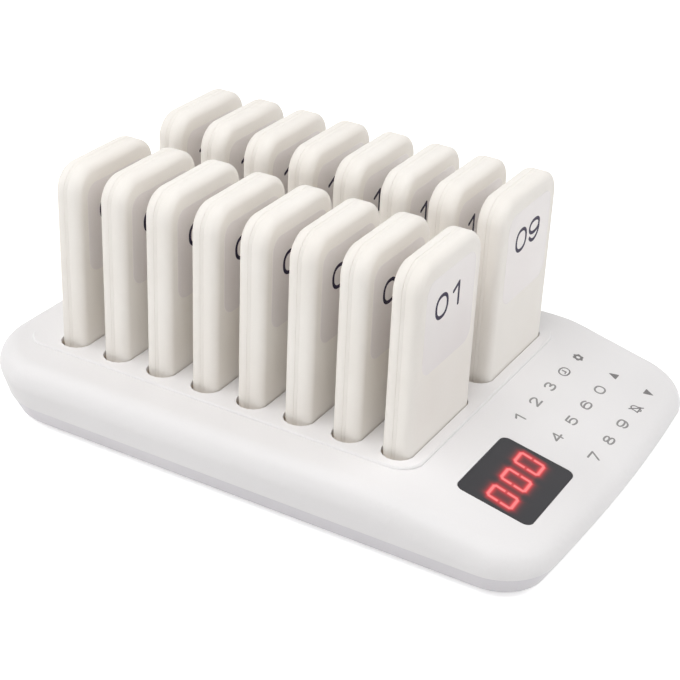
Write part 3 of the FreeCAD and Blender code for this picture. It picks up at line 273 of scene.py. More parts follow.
GRAIN, UNEVEN = 2600.0, 14.0    # noise scales of moulded plastic, fine and broad
FINENESS = 9000.0               # noise scale across the lines of drawn metal
NOISE_RUN = (0.35, 0.65)        # most of a noise's values lie between these
SHEEN_RUN = (0.3, 0.7)          # and nearly all of them between these
METAL_RUN = (0.1, 0.4)          # the same for the product of two noises
WHITE_LIGHT, NO_LIGHT = (1.0, 1.0, 1.0, 1.0), (0.0, 0.0, 0.0, 1.0)


def linear(*rgb):
    """A colour written in 0..255 display values, as linear light: c / 12.92 in the darkest
    part, and ((c + 0.055) / 1.055) ** 2.4 above it."""
    c = np.array(rgb) / 255
    c = np.where(c <= 0.04045, c / 12.92, ((c + 0.055) / 1.055) ** 2.4)
    return (*c.tolist(), 1.0)


class Net:
    """Short way to place and join nodes in one tree."""

    def __init__(self, tree):
        self.tree = tree

    def node(self, kind, inputs=None, **settings):
        """A new node with those settings, its inputs joined or given their plain values."""
        made = self.tree.nodes.new(kind)
        for key, setting in settings.items():
            setattr(made, key, setting)
        for key, source in (inputs or {}).items():
            self.feed(made.inputs[key], source)
        return made

    def feed(self, socket, source):
        """Joins a socket to another one, or gives it a plain value."""
        if isinstance(source, bpy.types.NodeSocket):
            self.tree.links.new(source, socket)
        else:
            socket.default_value = source

    def math(self, operation, *terms):
        """One step of arithmetic on sockets and numbers."""
        made = self.node("ShaderNodeMath", operation=operation)
        for k, term in enumerate(terms):
            self.feed(made.inputs[k], term)
        return made.outputs[0]

    def add(self, first, second):
        """first + second."""
        return self.math("ADD", first, second)

    def less(self, first, second):
        """first - second."""
        return self.math("SUBTRACT", first, second)

    def times(self, first, second):
        """first * second."""
        return self.math("MULTIPLY", first, second)

    def share(self, first, part, second):
        """first * part + second * (1 - part)."""
        return self.add(self.times(first, part), self.times(second, 1 - part))

    def rise(self, value, slope, start):
        """value * slope + start."""
        return self.add(self.times(value, slope), start)

    def ramp(self, value, start, stop):
        """3 t^2 - 2 t^3, where t runs from 0 at start to 1 at stop and no further."""
        made = self.node("ShaderNodeMapRange", {"Value": value, "From Min": start,
                                                "From Max": stop},
                         interpolation_type="SMOOTHSTEP")
        return made.outputs[0]

    def span(self, value, target, low=0.0, high=1.0):
        """A value's run from low to high, carried to the target pair in a straight line."""
        made = self.node("ShaderNodeMapRange", {"Value": value, "From Min": low, "From Max": high,
                                                "To Min": target[0], "To Max": target[1]})
        return made.outputs[0]

    def blend(self, factor, first, second):
        """The colour first * (1 - factor) + second * factor."""
        made = self.node("ShaderNodeMix", {0: factor, 6: first, 7: second}, data_type="RGBA")
        return made.outputs[2]

    def place(self):
        """Object coordinates, in metres."""
        return self.node("ShaderNodeTexCoord").outputs["Object"]

    def axes(self):
        """Object coordinates as the sockets "X", "Y" and "Z", in metres."""
        return self.node("ShaderNodeSeparateXYZ", {0: self.place()}).outputs

    def noise(self, scale, detail=2.0, vector=None):
        """Cloudy noise of 0..1 over Object coordinates, or over another vector."""
        vector = self.place() if vector is None else vector
        return self.node("ShaderNodeTexNoise", {"Vector": vector, "Scale": scale,
                                                "Detail": detail}).outputs["Fac"]

    def relief(self, height, depth):
        """The normal over a height of 0..1 that stands depth millimetres."""
        return self.node("ShaderNodeBump", {"Height": height, "Distance": depth * MM}).outputs[0]

    def seen_directly(self):
        """One for rays from the camera, a mirror or glass, and nought for scattered light."""
        path = self.node("ShaderNodeLightPath").outputs
        return self.math("MAXIMUM", path["Is Camera Ray"],
                         self.math("MAXIMUM", path["Is Glossy Ray"], path["Is Transmission Ray"]))


def new_group(name, inputs, outputs):
    """A shader group with those sockets, as (group, Net, input sockets, output sockets)."""
    tree = bpy.data.node_groups.new(name, "ShaderNodeTree")
    for key, value in inputs.items():
        socket = tree.interface.new_socket(name=key, in_out="INPUT", socket_type="NodeSocketFloat")
        socket.default_value = value
    for key in outputs:
        tree.interface.new_socket(name=key, in_out="OUTPUT", socket_type="NodeSocketFloat")
    net = Net(tree)
    return tree, net, net.node("NodeGroupInput").outputs, net.node("NodeGroupOutput").inputs


def moulded_group():
    """Moulded plastic: a fine satin grain, a broad unevenness of tone, and worn-smooth patches.
    Tone is 0.7 broad + 0.3 fine, and sheen is 0.6 patches + 0.4 fine."""
    tree, net, given, result = new_group(
        "moulded_finish", {"Grain": GRAIN, "Unevenness": UNEVEN}, ("Height", "Tone", "Sheen"))
    fine = net.noise(given["Grain"], 3.0)
    broad = net.noise(given["Unevenness"])
    patches = net.noise(net.times(given["Unevenness"], 3.1), 4.0)
    net.feed(result["Height"], fine)
    net.feed(result["Tone"], net.share(broad, 0.7, fine))
    net.feed(result["Sheen"], net.share(patches, 0.6, fine))
    return tree


def brushed_group():
    """Drawn metal: fine lines along X, from noise stretched along it, and a cloudy stain."""
    tree, net, given, result = new_group("brushed_lines", {"Fineness": FINENESS},
                                         ("Lines", "Stain"))
    drawn = net.node("ShaderNodeMapping", {"Vector": net.place(), "Scale": (0.03, 1.0, 1.0)})
    net.feed(result["Lines"], net.noise(given["Fineness"], vector=drawn.outputs[0]))
    net.feed(result["Stain"], net.noise(140.0, 4.0))
    return tree


def lit_digits_group():
    """Three lit zeros behind a window, in millimetres on the panel: each is a loop with cut
    corners and a small break halfway up both sides. Ring distance d = max(|u| - a, |v| - b,
    (|u| + |v| - (a + b - c)) / sqrt 2); the core is |d| < half a stroke, and the glow around it
    is exp(-(|d| - half a stroke) / reach) plus a faint haze over the whole row."""
    tree, net, given, result = new_group(
        "lit_digits", {"Middle": -36.0, "Down": 29.2, "Pitch": 11.8, "Slant": 0.1, "Rise": 0.038,
                       "Half Width": 3.28, "Half Height": 4.8, "Cut": 0.7, "Stroke": 1.75},
        ("Core", "Heart", "Glow"))
    soft_edge, heart_at = 0.25, -0.7
    gap, gap_light = (0.2, 0.75), 0.15
    reach, glow_light = 0.66, 0.86
    haze_edge, haze_light = 0.6, 0.17
    row_end = (1.52, 1.45)
    width, height, pitch = given["Half Width"], given["Half Height"], given["Pitch"]

    axes = net.axes()
    along = net.less(net.times(axes["X"], 1 / MM), given["Middle"])
    down = net.math("DIVIDE", net.less(CREASE_Y, net.times(axes["Y"], 1 / MM)), math.cos(SLOPE))
    v = net.less(net.less(given["Down"], down), net.times(along, given["Rise"]))
    across = net.less(along, net.times(v, given["Slant"]))
    half_pitch = net.times(pitch, 0.5)
    u = net.math("ABSOLUTE", net.math("WRAP", across, half_pitch, net.times(half_pitch, -1.0)))
    v = net.math("ABSOLUTE", v)

    corner = net.less(net.add(width, height), given["Cut"])
    cut = net.times(net.less(net.add(u, v), corner), math.sqrt(0.5))
    sides = net.math("MAXIMUM", net.less(u, width), net.less(v, height))
    d = net.less(net.math("ABSOLUTE", net.math("MAXIMUM", sides, cut)),
                 net.times(given["Stroke"], 0.5))

    inside = net.ramp(net.math("ABSOLUTE", across), *(net.times(pitch, end) for end in row_end))
    core = net.times(net.ramp(d, soft_edge, -soft_edge),
                     net.rise(net.ramp(v, *gap), 1 - gap_light, gap_light))
    fading = net.math("DIVIDE", net.math("MAXIMUM", d, 0.0), -reach)
    haze = net.ramp(v, net.add(height, haze_edge), net.less(height, haze_edge))
    glow = net.add(net.times(net.math("EXPONENT", fading), glow_light),
                   net.times(haze, haze_light))
    net.feed(result["Heart"], net.ramp(d, 0.0, heart_at))
    net.feed(result["Core"], net.times(core, inside))
    net.feed(result["Glow"], net.times(glow, inside))
    return tree


GROUPS = {"moulded": moulded_group(), "brushed": brushed_group(), "digits": lit_digits_group()}


def new_material(name, **plain):
    """(material, Net, Principled inputs) with the plain values set on the shader's sockets."""
    material = bpy.data.materials.new(name)
    material.use_nodes = True
    shader = material.node_tree.nodes["Principled BSDF"].inputs
    for key, value in plain.items():
        shader[key.replace("_", " ").title().replace("Ior", "IOR")].default_value = value
    return material, Net(material.node_tree), shader


def opened(material):
    """(Net, Principled inputs, colour so far) of a material that gets one more layer."""
    shader = material.node_tree.nodes["Principled BSDF"].inputs
    return Net(material.node_tree), shader, shader["Base Color"].links[0].from_socket


def use_group(net, key, **values):
    """Outputs of a shared group placed in a material with its own values."""
    placed = net.node("ShaderNodeGroup", node_tree=GROUPS[key])
    for name, value in values.items():
        net.feed(placed.inputs[name.title()], value)
    return placed.outputs


def plastic(name, light, dark, rough=(0.38, 0.5), bump=0.006, grain=GRAIN, uneven=UNEVEN,
            **plain):
    """Moulded plastic or rubber between two tones, its roughness wandering between two values
    and its grain bump millimetres deep."""
    material, net, shader = new_material(name, **plain)
    finish = use_group(net, "moulded", grain=grain, unevenness=uneven)
    net.feed(shader["Base Color"],
             net.blend(net.ramp(finish["Tone"], *NOISE_RUN), dark, light))
    net.feed(shader["Roughness"], net.span(finish["Sheen"], rough, *SHEEN_RUN))
    net.feed(shader["Normal"], net.relief(finish["Height"], bump))
    return material


def metal(name, light, dark, rough=(0.22, 0.4)):
    """Drawn metal between two tones, with its lines in colour, roughness and relief."""
    material, net, shader = new_material(name, metallic=1.0)
    brushed = use_group(net, "brushed", fineness=FINENESS)
    tone = net.ramp(net.times(brushed["Stain"], brushed["Lines"]), *METAL_RUN)
    net.feed(shader["Base Color"], net.blend(tone, dark, light))
    net.feed(shader["Roughness"], net.span(brushed["Lines"], rough))
    net.feed(shader["Normal"], net.relief(brushed["Lines"], 0.01))
    return material


def pager_plastic():
    """Cream satin plastic; the lines round a pager, marked by its "seam" attribute, are darkened in
    patches, partly dust and partly painted shade in the groove."""
    material = plastic("pager_cream", linear(251, 247, 241), linear(247, 242, 235),
                       rough=(0.55, 0.66), uneven=22.0, specular_ior_level=0.35)
    net, shader, colour = opened(material)
    # painted shade: the seam grooves darken in patches, partly dust and partly the shade a fine
    # groove holds
    dust_and_shade, dust_and_shade_cover = linear(176, 164, 150), 0.06
    seam = net.node("ShaderNodeAttribute", attribute_name="seam").outputs["Fac"]
    dust_and_shade_mask = net.times(seam, net.ramp(net.noise(260.0, 3.0), 0.2, 0.7))
    net.feed(shader["Base Color"], net.blend(net.times(dust_and_shade_mask, dust_and_shade_cover), colour, dust_and_shade))
    return material


def base_plastic():
    """White satin plastic, with painted warm bounce light inside the slots: there the mask is one,
    below the deck and within the block that holds both rows. Its edges are (outside, inside) pairs."""
    material = plastic("base_white", linear(243, 241, 241), linear(239, 237, 237),
                       specular_ior_level=0.3)
    # painted warm bounce light: the slot walls get this warmer white for the light the cream pagers
    # throw into them
    painted_bounce_warm = linear(255, 243, 229)
    side, front, back, below = (58.5, 57.5), (-62.1, -61.1), (100.0, 99.0), (28.5, 27.0)
    net, shader, colour = opened(material)
    axes = net.axes()
    inside = net.ramp(net.math("ABSOLUTE", axes["X"]), *(edge * MM for edge in side))
    for axis, edges in (("Y", front), ("Y", back), ("Z", below)):
        inside = net.times(inside, net.ramp(axes[axis], *(edge * MM for edge in edges)))
    net.feed(shader["Base Color"], net.blend(inside, colour, painted_bounce_warm))
    return material


def display_glass():
    """Dark glossy window with the three lit digits and their glow showing through it."""
    material, net, shader = new_material("smoked_window", coat_weight=0.05, coat_roughness=0.04,
                                         specular_ior_level=0.35, emission_strength=1.0)
    finish = use_group(net, "moulded", grain=900.0, unevenness=60.0)
    glass, cloud = linear(38, 37, 41), linear(45, 44, 48)
    glow_red, edge_red, heart_red = linear(196, 24, 30), linear(216, 34, 44), linear(255, 126, 126)
    net.feed(shader["Base Color"], net.blend(finish["Tone"], glass, cloud))
    net.feed(shader["Roughness"], net.span(finish["Sheen"], (0.3, 0.42)))
    lit = use_group(net, "digits")
    glow = net.blend(lit["Glow"], NO_LIGHT, glow_red)
    stroke = net.blend(lit["Heart"], edge_red, heart_red)
    net.feed(shader["Emission Color"], net.blend(lit["Core"], glow, stroke))
    return material


def board_material(name):
    """Circuit board: green mask with copper runs showing under it, and small plated dots."""
    material, net, shader = new_material(name, coat_weight=0.3, coat_roughness=0.15)
    green, light_green, copper = linear(16, 84, 52), linear(20, 92, 58), linear(62, 128, 74)
    tin = linear(190, 176, 120)
    runs = net.node("ShaderNodeTexBrick", {"Vector": net.place(), "Scale": 130.0,
                                           "Mortar Size": 0.06, "Color1": green,
                                           "Color2": light_green, "Mortar": copper})
    dots = net.node("ShaderNodeTexVoronoi", {"Vector": net.place(), "Scale": 420.0})
    plated = net.ramp(dots.outputs["Distance"], 0.16, 0.1)
    net.feed(shader["Base Color"], net.blend(plated, runs.outputs["Color"], tin))
    net.feed(shader["Roughness"], net.rise(net.noise(300.0), 0.25, 0.3))
    net.feed(shader["Normal"], net.relief(runs.outputs["Fac"], 0.03))
    return material


def pager_board_material():
    """A pager's inside: green board, with gold on the charging pads below."""
    material = board_material("pager_board")
    pad_top, blur = SLOT_FLOOR + 4.5, 0.05
    net, shader, colour = opened(material)
    pad = net.ramp(net.axes()["Z"], (pad_top + blur) * MM, (pad_top - blur) * MM)
    gold = net.blend(net.noise(700.0, 3.0), linear(214, 172, 92), linear(232, 196, 120))
    net.feed(shader["Base Color"], net.blend(pad, colour, gold))
    net.feed(shader["Metallic"], pad)
    return material


def paper_material():
    """Number label: smooth glossy film over paper with a faint fleck. Its tone is 0.4 fleck +
    0.6 cloud."""
    material, net, shader = new_material("label_film", coat_weight=0.4, coat_roughness=0.3)
    fleck = net.noise(1800.0, 4.0)
    tone = net.ramp(net.share(fleck, 0.4, net.noise(30.0)), *NOISE_RUN)
    net.feed(shader["Base Color"], net.blend(tone, linear(238, 232, 230), linear(242, 237, 235)))
    net.feed(shader["Roughness"], net.rise(fleck, 0.12, 0.42))
    net.feed(shader["Normal"], net.relief(fleck, 0.003))
    return material


def ink_material(name, strong, thin):
    """Printed ink: coverage varies a little, so the tone wanders between two inks."""
    material, net, shader = new_material(name, specular_ior_level=0.15)
    cover = net.ramp(net.noise(3200.0, 3.0), 0.3, 0.7)
    net.feed(shader["Base Color"], net.blend(cover, thin, strong))
    net.feed(shader["Roughness"], net.rise(cover, 0.15, 0.4))
    return material


MATERIALS = {
    "base_white": base_plastic(),
    # painted shade: the tray is made greyer than the base white for the shade along the underside
    # strip
    "tray_grey": plastic("tray_grey", linear(222, 219, 222), linear(216, 213, 217), uneven=10.0),
    "pager_cream": pager_plastic(),
    "smoked_window": display_glass(),
    "display_black": plastic("display_black", linear(44, 40, 42), linear(32, 29, 31)),
    "foam_pad": plastic("foam_pad", linear(70, 70, 72), linear(44, 44, 46), rough=(0.8, 0.95),
                        bump=0.12, grain=1200.0),
    "black_plastic": plastic("black_plastic", linear(40, 40, 42), linear(30, 30, 32)),
    "antenna_sleeve": plastic("antenna_sleeve", linear(46, 46, 48), linear(36, 36, 38),
                              rough=(0.6, 0.75)),
    "foot_rubber": plastic("foot_rubber", linear(66, 66, 68), linear(48, 48, 50),
                           rough=(0.7, 0.9), bump=0.03, grain=1500.0),
    "contact_metal": metal("contact_metal", linear(226, 186, 104), linear(190, 148, 78)),
    "screw_steel": metal("screw_steel", linear(200, 200, 204), linear(150, 150, 156)),
    "circuit_board": board_material("circuit_board"),
    "pager_board": pager_board_material(),
    "label_film": paper_material(),
    "number_ink": ink_material("number_ink", linear(32, 22, 50), linear(42, 32, 62)),
    "key_print": ink_material("key_print", linear(142, 140, 139), linear(160, 158, 157)),
    "symbol_print": ink_material("symbol_print", linear(122, 119, 119), linear(142, 139, 139)),
}


def paint(piece, key):
    """Gives a piece or a node its material and nothing else."""
    piece.data.materials.clear()
    piece.data.materials.append(MATERIALS[key])


# Charging base ---------------------------------------------------------------------------------

def smooth_copy(node, name, material):
    """The node's own surface, with its loose triangles joined and its shading smoothed over the
    rolled edges, and with the corners of slots and bevels left crisp."""
    source = nodes[node].data
    points = np.zeros(len(source.vertices) * 3, np.float32)
    source.vertices.foreach_get("co", points)
    corner = np.zeros(len(source.loops), np.int32)
    source.loops.foreach_get("vertex_index", corner)
    points = points.reshape(-1, 3).astype(float)
    cells, joined = np.unique(np.round(points / SAME_PLACE).astype(np.int64), axis=0,
                              return_inverse=True)
    merged = np.zeros((len(cells), 3))
    merged[joined.ravel()] = points
    faces = joined.ravel()[corner].reshape(-1, 3)
    faces = faces[(faces[:, 0] != faces[:, 1]) & (faces[:, 1] != faces[:, 2])
                  & (faces[:, 0] != faces[:, 2])]
    piece = make_piece(name, [(merged, [faces])], sharp=32.0)
    weighted = piece.modifiers.new("face_weighted_shading", "WEIGHTED_NORMAL")
    weighted.keep_sharp = True
    weighted.weight = 100
    paint(piece, material)
    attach(piece, "base")
    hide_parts(node)


smooth_copy("upper_shell", "housing_upper", "base_white")
smooth_copy("lower_shell", "housing_tray", "tray_grey")


def rubber_feet():
    """Four turned feet: a flat tread with a rounded rim and a shallow cup in its middle."""
    low, high = (np.array(corner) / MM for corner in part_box("rubber_feet"))
    radius, tall, edge, top_rim = 6.5, high[2] - low[2], 0.7, 1.0
    cup = [(2.4, 0.25), (3.0, 0.06), (3.6, 0.0)]
    rim = [(radius - inset, height) for inset, height in rolled(edge, 5)]
    profile = cup + rim + [(radius, tall), (radius - top_rim, tall)]
    parts = [turned_part(profile, (x, y, low[2]))
             for x in (low[0] + radius, high[0] - radius)
             for y in (low[1] + radius, high[1] - radius)]
    piece = make_piece("feet", parts)
    paint(piece, "foot_rubber")
    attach(piece, "base")
    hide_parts("rubber_feet")


rubber_feet()


for node, key in {"display_window": "smoked_window", "display_module": "display_black",
                  "control_board": "circuit_board", "touch_pads": "foam_pad",
                  "charging_board": "circuit_board", "charging_contacts": "contact_metal",
                  "dc_jack": "black_plastic", "antenna": "antenna_sleeve",
                  "housing_screws": "screw_steel"}.items():
    paint(nodes[node], key)


# Panel print -----------------------------------------------------------------------------------

KEY_FIRST = (-2.0, 14.25)       # across the panel and down it to the middle of the first key
KEY_PITCH = (13.4, 15.37)       # from column to column and from row to row
KEY_ROWS = ((1, 2, 3), (4, 5, 6, 0), (7, 8, 9))
KEY_DIGIT, KEY_STROKE = (5.4, 4.5), 0.75
PRINT_LOW, PRINT_HIGH = -0.01, 0.02
PRINT_STEP = 0.002              # between the tops of a symbol's strokes


def on_panel(points):
    """Panel coordinates (across, up the slope, above the panel) in mm to metres in the frame."""
    origin = np.array([0.0, CREASE_Y, DECK_Z])
    return (origin + points[:, :1] * np.array([1.0, 0.0, 0.0])
            - points[:, 1:2] * ALONG_SLOPE + points[:, 2:3] * PANEL_UP) * MM


def key_middle(row, column):
    """Middle of a key on the panel: the first key's, and a pitch more for each row and column."""
    return np.array([KEY_FIRST[0] + KEY_PITCH[0] * column, -KEY_FIRST[1] - KEY_PITCH[1] * row])


def symbol_strokes(*strokes):
    """Raised strokes of one symbol, from rows (path, closed, width). Each is PRINT_STEP higher
    than the last, so that none share a face."""
    return [ribbon_part(path, closed, width, PRINT_LOW, PRINT_HIGH + PRINT_STEP * k, on_panel)
            for k, (path, closed, width) in enumerate(strokes)]


def circled_icon(x, y):
    """An oval ring round a short upright stroke whose foot turns to the left."""
    return symbol_strokes((ring(x, y, 2.75, 1.95, 2.2), True, 0.62),
                          (line((x + 0.25, y + 0.85), (x + 0.25, y - 0.55)), False, 0.75),
                          (line((x + 0.25, y - 0.55), (x - 1.0, y - 0.75)), False, 0.5))


def gear(middle, hole=0.8, radius=2.05, tooth=0.2, teeth=6):
    """A flat ring of radius + tooth tanh(3 sin (teeth a)) round a hole."""
    a = np.linspace(0.0, 2 * math.pi, 96, endpoint=False)
    spoke = np.stack([np.cos(a), np.sin(a)], -1)
    inner = middle + hole * spoke
    outer = middle + (radius + tooth * np.tanh(3.0 * np.sin(teeth * a)))[:, None] * spoke
    edges = [(inner, PRINT_LOW), (inner, PRINT_HIGH), (outer, PRINT_HIGH), (outer, PRINT_LOW)]
    grid = np.stack([at_height(edge, height, on_panel) for edge, height in edges])
    return [grid_part(grid, loop_rows=True)]


def triangle(middle, point_up, size=4.1, rounding=0.12):
    """A solid triangle as wide as size, its corners rounded by the curve (1 - t)^2 start +
    2 t (1 - t) corner + t^2 stop, between two points `rounding` of the way along its sides."""
    corners = np.array([(-0.5, -0.45), (0.5, -0.45), (0.0, 0.5)]) * size
    if not point_up:
        corners = corners[::-1] * np.array([1, -1])
    t = np.linspace(0.0, 1.0, 8)[:, None]
    loop = []
    for k in range(3):
        here, before, after = corners[k], corners[k - 1], corners[(k + 1) % 3]
        start, stop = here + (before - here) * rounding, here + (after - here) * rounding
        loop.append((1 - t) ** 2 * start + 2 * t * (1 - t) * here + t ** 2 * stop)
    loop = np.concatenate(loop) + middle
    return [grid_part(np.stack([at_height(loop, height, on_panel)
                                for height in (PRINT_LOW, PRINT_HIGH)]))]


def crossed_bell(x, y):
    """A bell's dome on its base line, the clapper under it, and a slash over it all."""
    dome = np.concatenate([line((x - 2.1, y - 1.3)), bend(x - 0.2, y + 0.3, 1.5, 1.6, 195, -15, 18),
                           line((x + 1.9, y - 1.3))])
    return symbol_strokes((dome, False, 0.55),
                          (line((x - 2.1, y - 1.35), (x + 1.9, y - 1.35)), False, 0.55),
                          (bend(x - 0.1, y - 1.6, 0.7, 0.5, 200, 340, 10), False, 0.5),
                          (line((x - 2.3, y + 2.0), (x + 2.4, y - 2.1)), False, 0.6))


def panel_print():
    """The digits and symbols of the touch keypad, three rows of five, printed on the panel."""
    digits = []
    for row, numbers in enumerate(KEY_ROWS):
        for column, number in enumerate(numbers):
            digits += digit_parts(number, KEY_DIGIT, KEY_STROKE, key_middle(row, column),
                                  PRINT_LOW, PRINT_HIGH, on_panel)
    symbols = (circled_icon(*key_middle(0, 3)) + gear(key_middle(0, 4))
               + triangle(key_middle(1, 4), True) + triangle(key_middle(2, 4), False)
               + crossed_bell(*key_middle(2, 3)))
    for name, parts, ink in (("key_digits", digits, "key_print"),
                             ("key_symbols", symbols, "symbol_print")):
        piece = make_piece(name, parts)
        paint(piece, ink)
        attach(piece, "base")


panel_print()


# Pagers ----------------------------------------------------------------------------------------

# Rows (inset, place from the middle of the groove, dust and painted groove shade) of the groove
# round a
#  pager's side, and (inset, place from the parting plane, dust and painted groove shade) of the
#  edge of each half beside the seam.
GROOVE = ((0.0, -0.32, 0.0), (0.07, -0.2, 0.6), (0.12, 0.0, 1.0), (0.07, 0.2, 0.6),
          (0.0, 0.32, 0.0))
SEAM_EDGE = ((0.0, -0.2, 0.0), (0.12, -0.03, 1.0), (0.4, -0.01, 1.0), (RIM, -0.01, 0.0))

# Label and number on the face, in millimetres from the pager's middle line and bottom.
LABEL_HALF_X, LABEL_LOW, LABEL_HIGH, LABEL_CORNER, FILM = 18.2, 45.1, 80.8, 5.4, 0.06
NUMBER_SIZE, NUMBER_STROKE, NUMBER_UP = (9.7, 9.6), 1.4, 68.5
TENS_X, UNITS_X = -6.5, 4.8
INK_LOW, INK_HIGH = 0.04, 0.08


def slot_place(number):
    """Middle of the slot of a pager, on the slot's floor: 1 to 8 at -X, 9 to 16 at +X."""
    row, along = divmod(number - 1, PER_ROW)
    return np.array([SLOT_X * (2 * row - 1), FIRST_Y + PITCH * along, SLOT_FLOOR])


def case_half(depth, edge_round, groove_at=None, notched=False):
    """(points, faces, seam) of half a pager case, face to parting plane, in a frame with its
    middle at the origin and its face toward -Y. Rows (inset, depth, dust and painted groove
    shade) are carried round the rounded rectangle: face, rolled edge, side with a groove,
    parting face, cavity. In the notch for the charging pads, |x| < NOTCH_HALF on the lower
    side, the depth is capped."""
    turned_in, step, cavity_bevel = 0.5, 0.02, 0.6
    profile = [(edge_round + turned_in, 0.0, 0.0)]
    profile += [(inset, level, 0.0) for inset, level in rolled(edge_round, 10)]
    if groove_at:
        profile += [(inset, groove_at + along, dust_and_shade) for inset, along, dust_and_shade in GROOVE]
    profile += [(inset, depth + along, dust_and_shade) for inset, along, dust_and_shade in SEAM_EDGE]
    profile += [(RIM, WALL + cavity_bevel, 0.0), (RIM + cavity_bevel, WALL, 0.0)]
    inset, level, dust_and_shade = np.array(profile).T

    stops = [-NOTCH_HALF - step, -NOTCH_HALF, 0.0, NOTCH_HALF, NOTCH_HALF + step]
    core, normal = rounded_loop(WIDTH / 2, TALL / 2, CORNER, 12, stops)
    plane = core[None] + normal[None] * (CORNER - inset)[:, None, None]
    level = np.repeat(level[:, None], len(core), axis=1)
    if notched:
        lower_side = normal[:, 1] < -0.999
        notch = lower_side & (np.abs(core[:, 0]) < NOTCH_HALF + step / 2)
        level[:, notch] = np.minimum(level[:, notch], NOTCH_FROM)
    grid = np.stack([plane[..., 0], level - THICK / 2, plane[..., 1]], -1)
    points, faces = grid_part(grid)
    seam = np.concatenate([np.repeat(dust_and_shade, len(core)), np.zeros(2)])
    return points, faces, seam


FRONT_HALF = case_half(FRONT_DEPTH, FRONT_ROUND, groove_at=GROOVE_AT, notched=True)
BACK_HALF = case_half(THICK - FRONT_DEPTH, BACK_ROUND)


def on_face(place):
    """Function from face coordinates (across, up from the pager's bottom, proud of the face), in
    mm, to metres in the frame, for a pager at that place."""
    def to_space(points):
        across, up, proud = points.T
        return (place + np.stack([across, -THICK / 2 - proud, up], -1)) * MM
    return to_space


def label_part(to_space):
    """(points, faces) of a label: a rounded rectangle of film with a softly turned-down edge,
    from rows (inset, height) carried round it."""
    core, normal = rounded_loop(LABEL_HALF_X, (LABEL_HIGH - LABEL_LOW) / 2, LABEL_CORNER, 8)
    middle = np.array([0.0, (LABEL_LOW + LABEL_HIGH) / 2])
    rows = [(0.0, -0.01), (0.0, FILM * 0.6), (0.05, FILM), (0.18, FILM), (LABEL_CORNER, FILM)]
    return grid_part(np.stack([
        at_height(core + normal * (LABEL_CORNER - inset) + middle, height, to_space)
        for inset, height in rows]))


def build_pager(number):
    """A pager: two case halves, its label, and its two-digit number printed on the label."""
    place, name = slot_place(number), f"pager_{number:02d}"
    middle = place + np.array([0.0, 0.0, TALL / 2])
    for half, node, turn in ((FRONT_HALF, "front_shell", 1), (BACK_HALF, "back_shell", -1)):
        points, faces, seam = half
        shape = (points * np.array([1.0, turn, 1.0]) + middle) * MM
        piece = make_piece(f"{name}_{node}_case", [(shape, faces)], {"seam": seam})
        paint(piece, "pager_cream")
        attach(piece, name)
        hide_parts(f"{name}_{node}")
    paint(nodes[f"{name}_electronics"], "pager_board")
    to_space = on_face(place)
    label = make_piece(f"{name}_label", [label_part(to_space)])
    paint(label, "label_film")
    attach(label, name)
    parts = []
    for digit, across in zip(divmod(number, 10), (TENS_X, UNITS_X)):
        parts += digit_parts(digit, NUMBER_SIZE, NUMBER_STROKE, (across, NUMBER_UP),
                             INK_LOW, INK_HIGH, to_space)
    ink = make_piece(f"{name}_number", parts)
    paint(ink, "number_ink")
    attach(ink, name)


for number in range(1, PAGERS + 1):
    build_pager(number)


# Floor, light and camera -------------------------------------------------------------------------

FLOOR_HALF = 6.0                    # metres
FLOOR_LIFT = (0.6, 1.0)             # strength of its glow, near and far
FLOOR_FADE = (0.4, 1.0)             # metres from the middle between which it grows
LAMP_TARGET, LAMP_SIZE = (0.0, 0.0, 0.05), 0.9
LAMPS = (("back_left", (-0.341, 0.936, 0.886), 4.4),
         ("upper_left", (-0.65, 0.0, 1.176), 8.0),
         ("front_right", (0.498, -0.862, 0.886), 5.3))


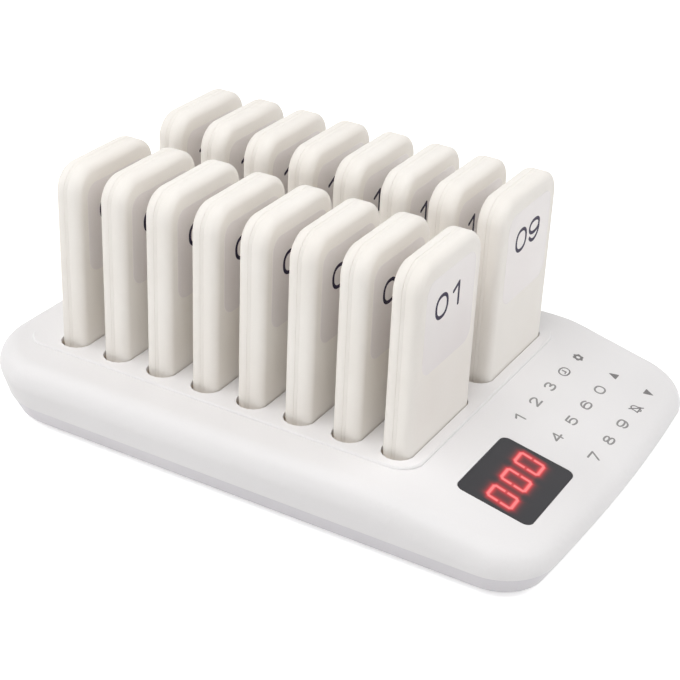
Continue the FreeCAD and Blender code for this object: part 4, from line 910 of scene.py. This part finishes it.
def studio_floor():
    """A wide pale floor that takes the soft shadow. Seen directly it is lifted by a glow that
    grows with the distance sqrt(x^2 + y^2) from the middle, up to 1, which is white, so that
    the floor stays white where the lamps fall off."""
    half, (near, far) = FLOOR_HALF, FLOOR_LIFT
    mesh = bpy.data.meshes.new("studio_floor")
    mesh.from_pydata([(-half, -half, 0), (half, -half, 0), (half, half, 0), (-half, half, 0)], [],
                     [(0, 1, 2, 3)])
    floor = placed_object("studio_floor", mesh)
    material = bpy.data.materials.new("studio_white")
    material.use_nodes = True
    net = Net(material.node_tree)
    net.tree.nodes.clear()
    diffuse = net.node("ShaderNodeBsdfDiffuse", {"Color": linear(243, 243, 243)})
    away = net.node("ShaderNodeVectorMath", {0: net.place()}, operation="LENGTH").outputs["Value"]
    strength = net.rise(net.ramp(away, *FLOOR_FADE), far - near, near)
    lift = net.node("ShaderNodeEmission", {"Color": WHITE_LIGHT, "Strength": strength})
    dark = net.node("ShaderNodeEmission", {"Color": NO_LIGHT, "Strength": 0.0})
    extra = net.node("ShaderNodeMixShader", {0: net.seen_directly(), 1: dark.outputs[0],
                                             2: lift.outputs[0]})
    total = net.node("ShaderNodeAddShader", {0: diffuse.outputs[0], 1: extra.outputs[0]})
    net.node("ShaderNodeOutputMaterial", {"Surface": total.outputs[0]})
    mesh.materials.append(material)


def studio_world():
    """An even pale surrounding light; looked at directly or in a mirror it is white."""
    world = bpy.data.worlds.new("studio_world")
    bpy.context.scene.world = world
    world.use_nodes = True
    net = Net(world.node_tree)
    net.tree.nodes.clear()
    soft = net.node("ShaderNodeBackground", {"Color": WHITE_LIGHT, "Strength": 0.3})
    white = net.node("ShaderNodeBackground", {"Color": WHITE_LIGHT, "Strength": 1.0})
    mix = net.node("ShaderNodeMixShader", {0: net.seen_directly(), 1: soft.outputs[0],
                                           2: white.outputs[0]})
    net.node("ShaderNodeOutputWorld", {"Surface": mix.outputs[0]})


def soft_box(name, place, power):
    """A square area light of LAMP_SIZE metres at that place, facing LAMP_TARGET."""
    lamp = bpy.data.lights.new(name, "AREA")
    lamp.size, lamp.energy = LAMP_SIZE, power
    holder = placed_object(name, lamp)
    holder.location = place
    facing = Vector(LAMP_TARGET) - Vector(place)
    holder.rotation_euler = facing.to_track_quat("-Z", "Y").to_euler()


def camera():
    """The camera at its place. It looks along (cos pitch cos yaw, cos pitch sin yaw, sin pitch),
    and its right and up sides are turned about that line by the roll, all in radians."""
    place, yaw, pitch, roll = (-0.481776, -0.267222, 0.337448), 0.5088, -0.5046, 0.0452
    data = bpy.data.cameras.new("view_camera")
    data.lens, data.sensor_width = 86.97, 36.0
    data.clip_start, data.clip_end = 0.01, 50.0
    forward = Vector((math.cos(pitch) * math.cos(yaw), math.cos(pitch) * math.sin(yaw),
                      math.sin(pitch)))
    right = forward.cross(Vector((0, 0, 1))).normalized()
    up = right.cross(forward)
    turned_right = math.cos(roll) * right + math.sin(roll) * up
    turned_up = -math.sin(roll) * right + math.cos(roll) * up
    turn = Matrix((turned_right, turned_up, -forward)).transposed()
    holder = placed_object("view_camera", data)
    holder.matrix_world = Matrix.Translation(place) @ turn.to_4x4()
    bpy.context.scene.camera = holder


studio_floor()
studio_world()
for name, place, power in LAMPS:
    soft_box(name, place, power)
camera()
bpy.context.scene.view_settings.view_transform = "Standard"
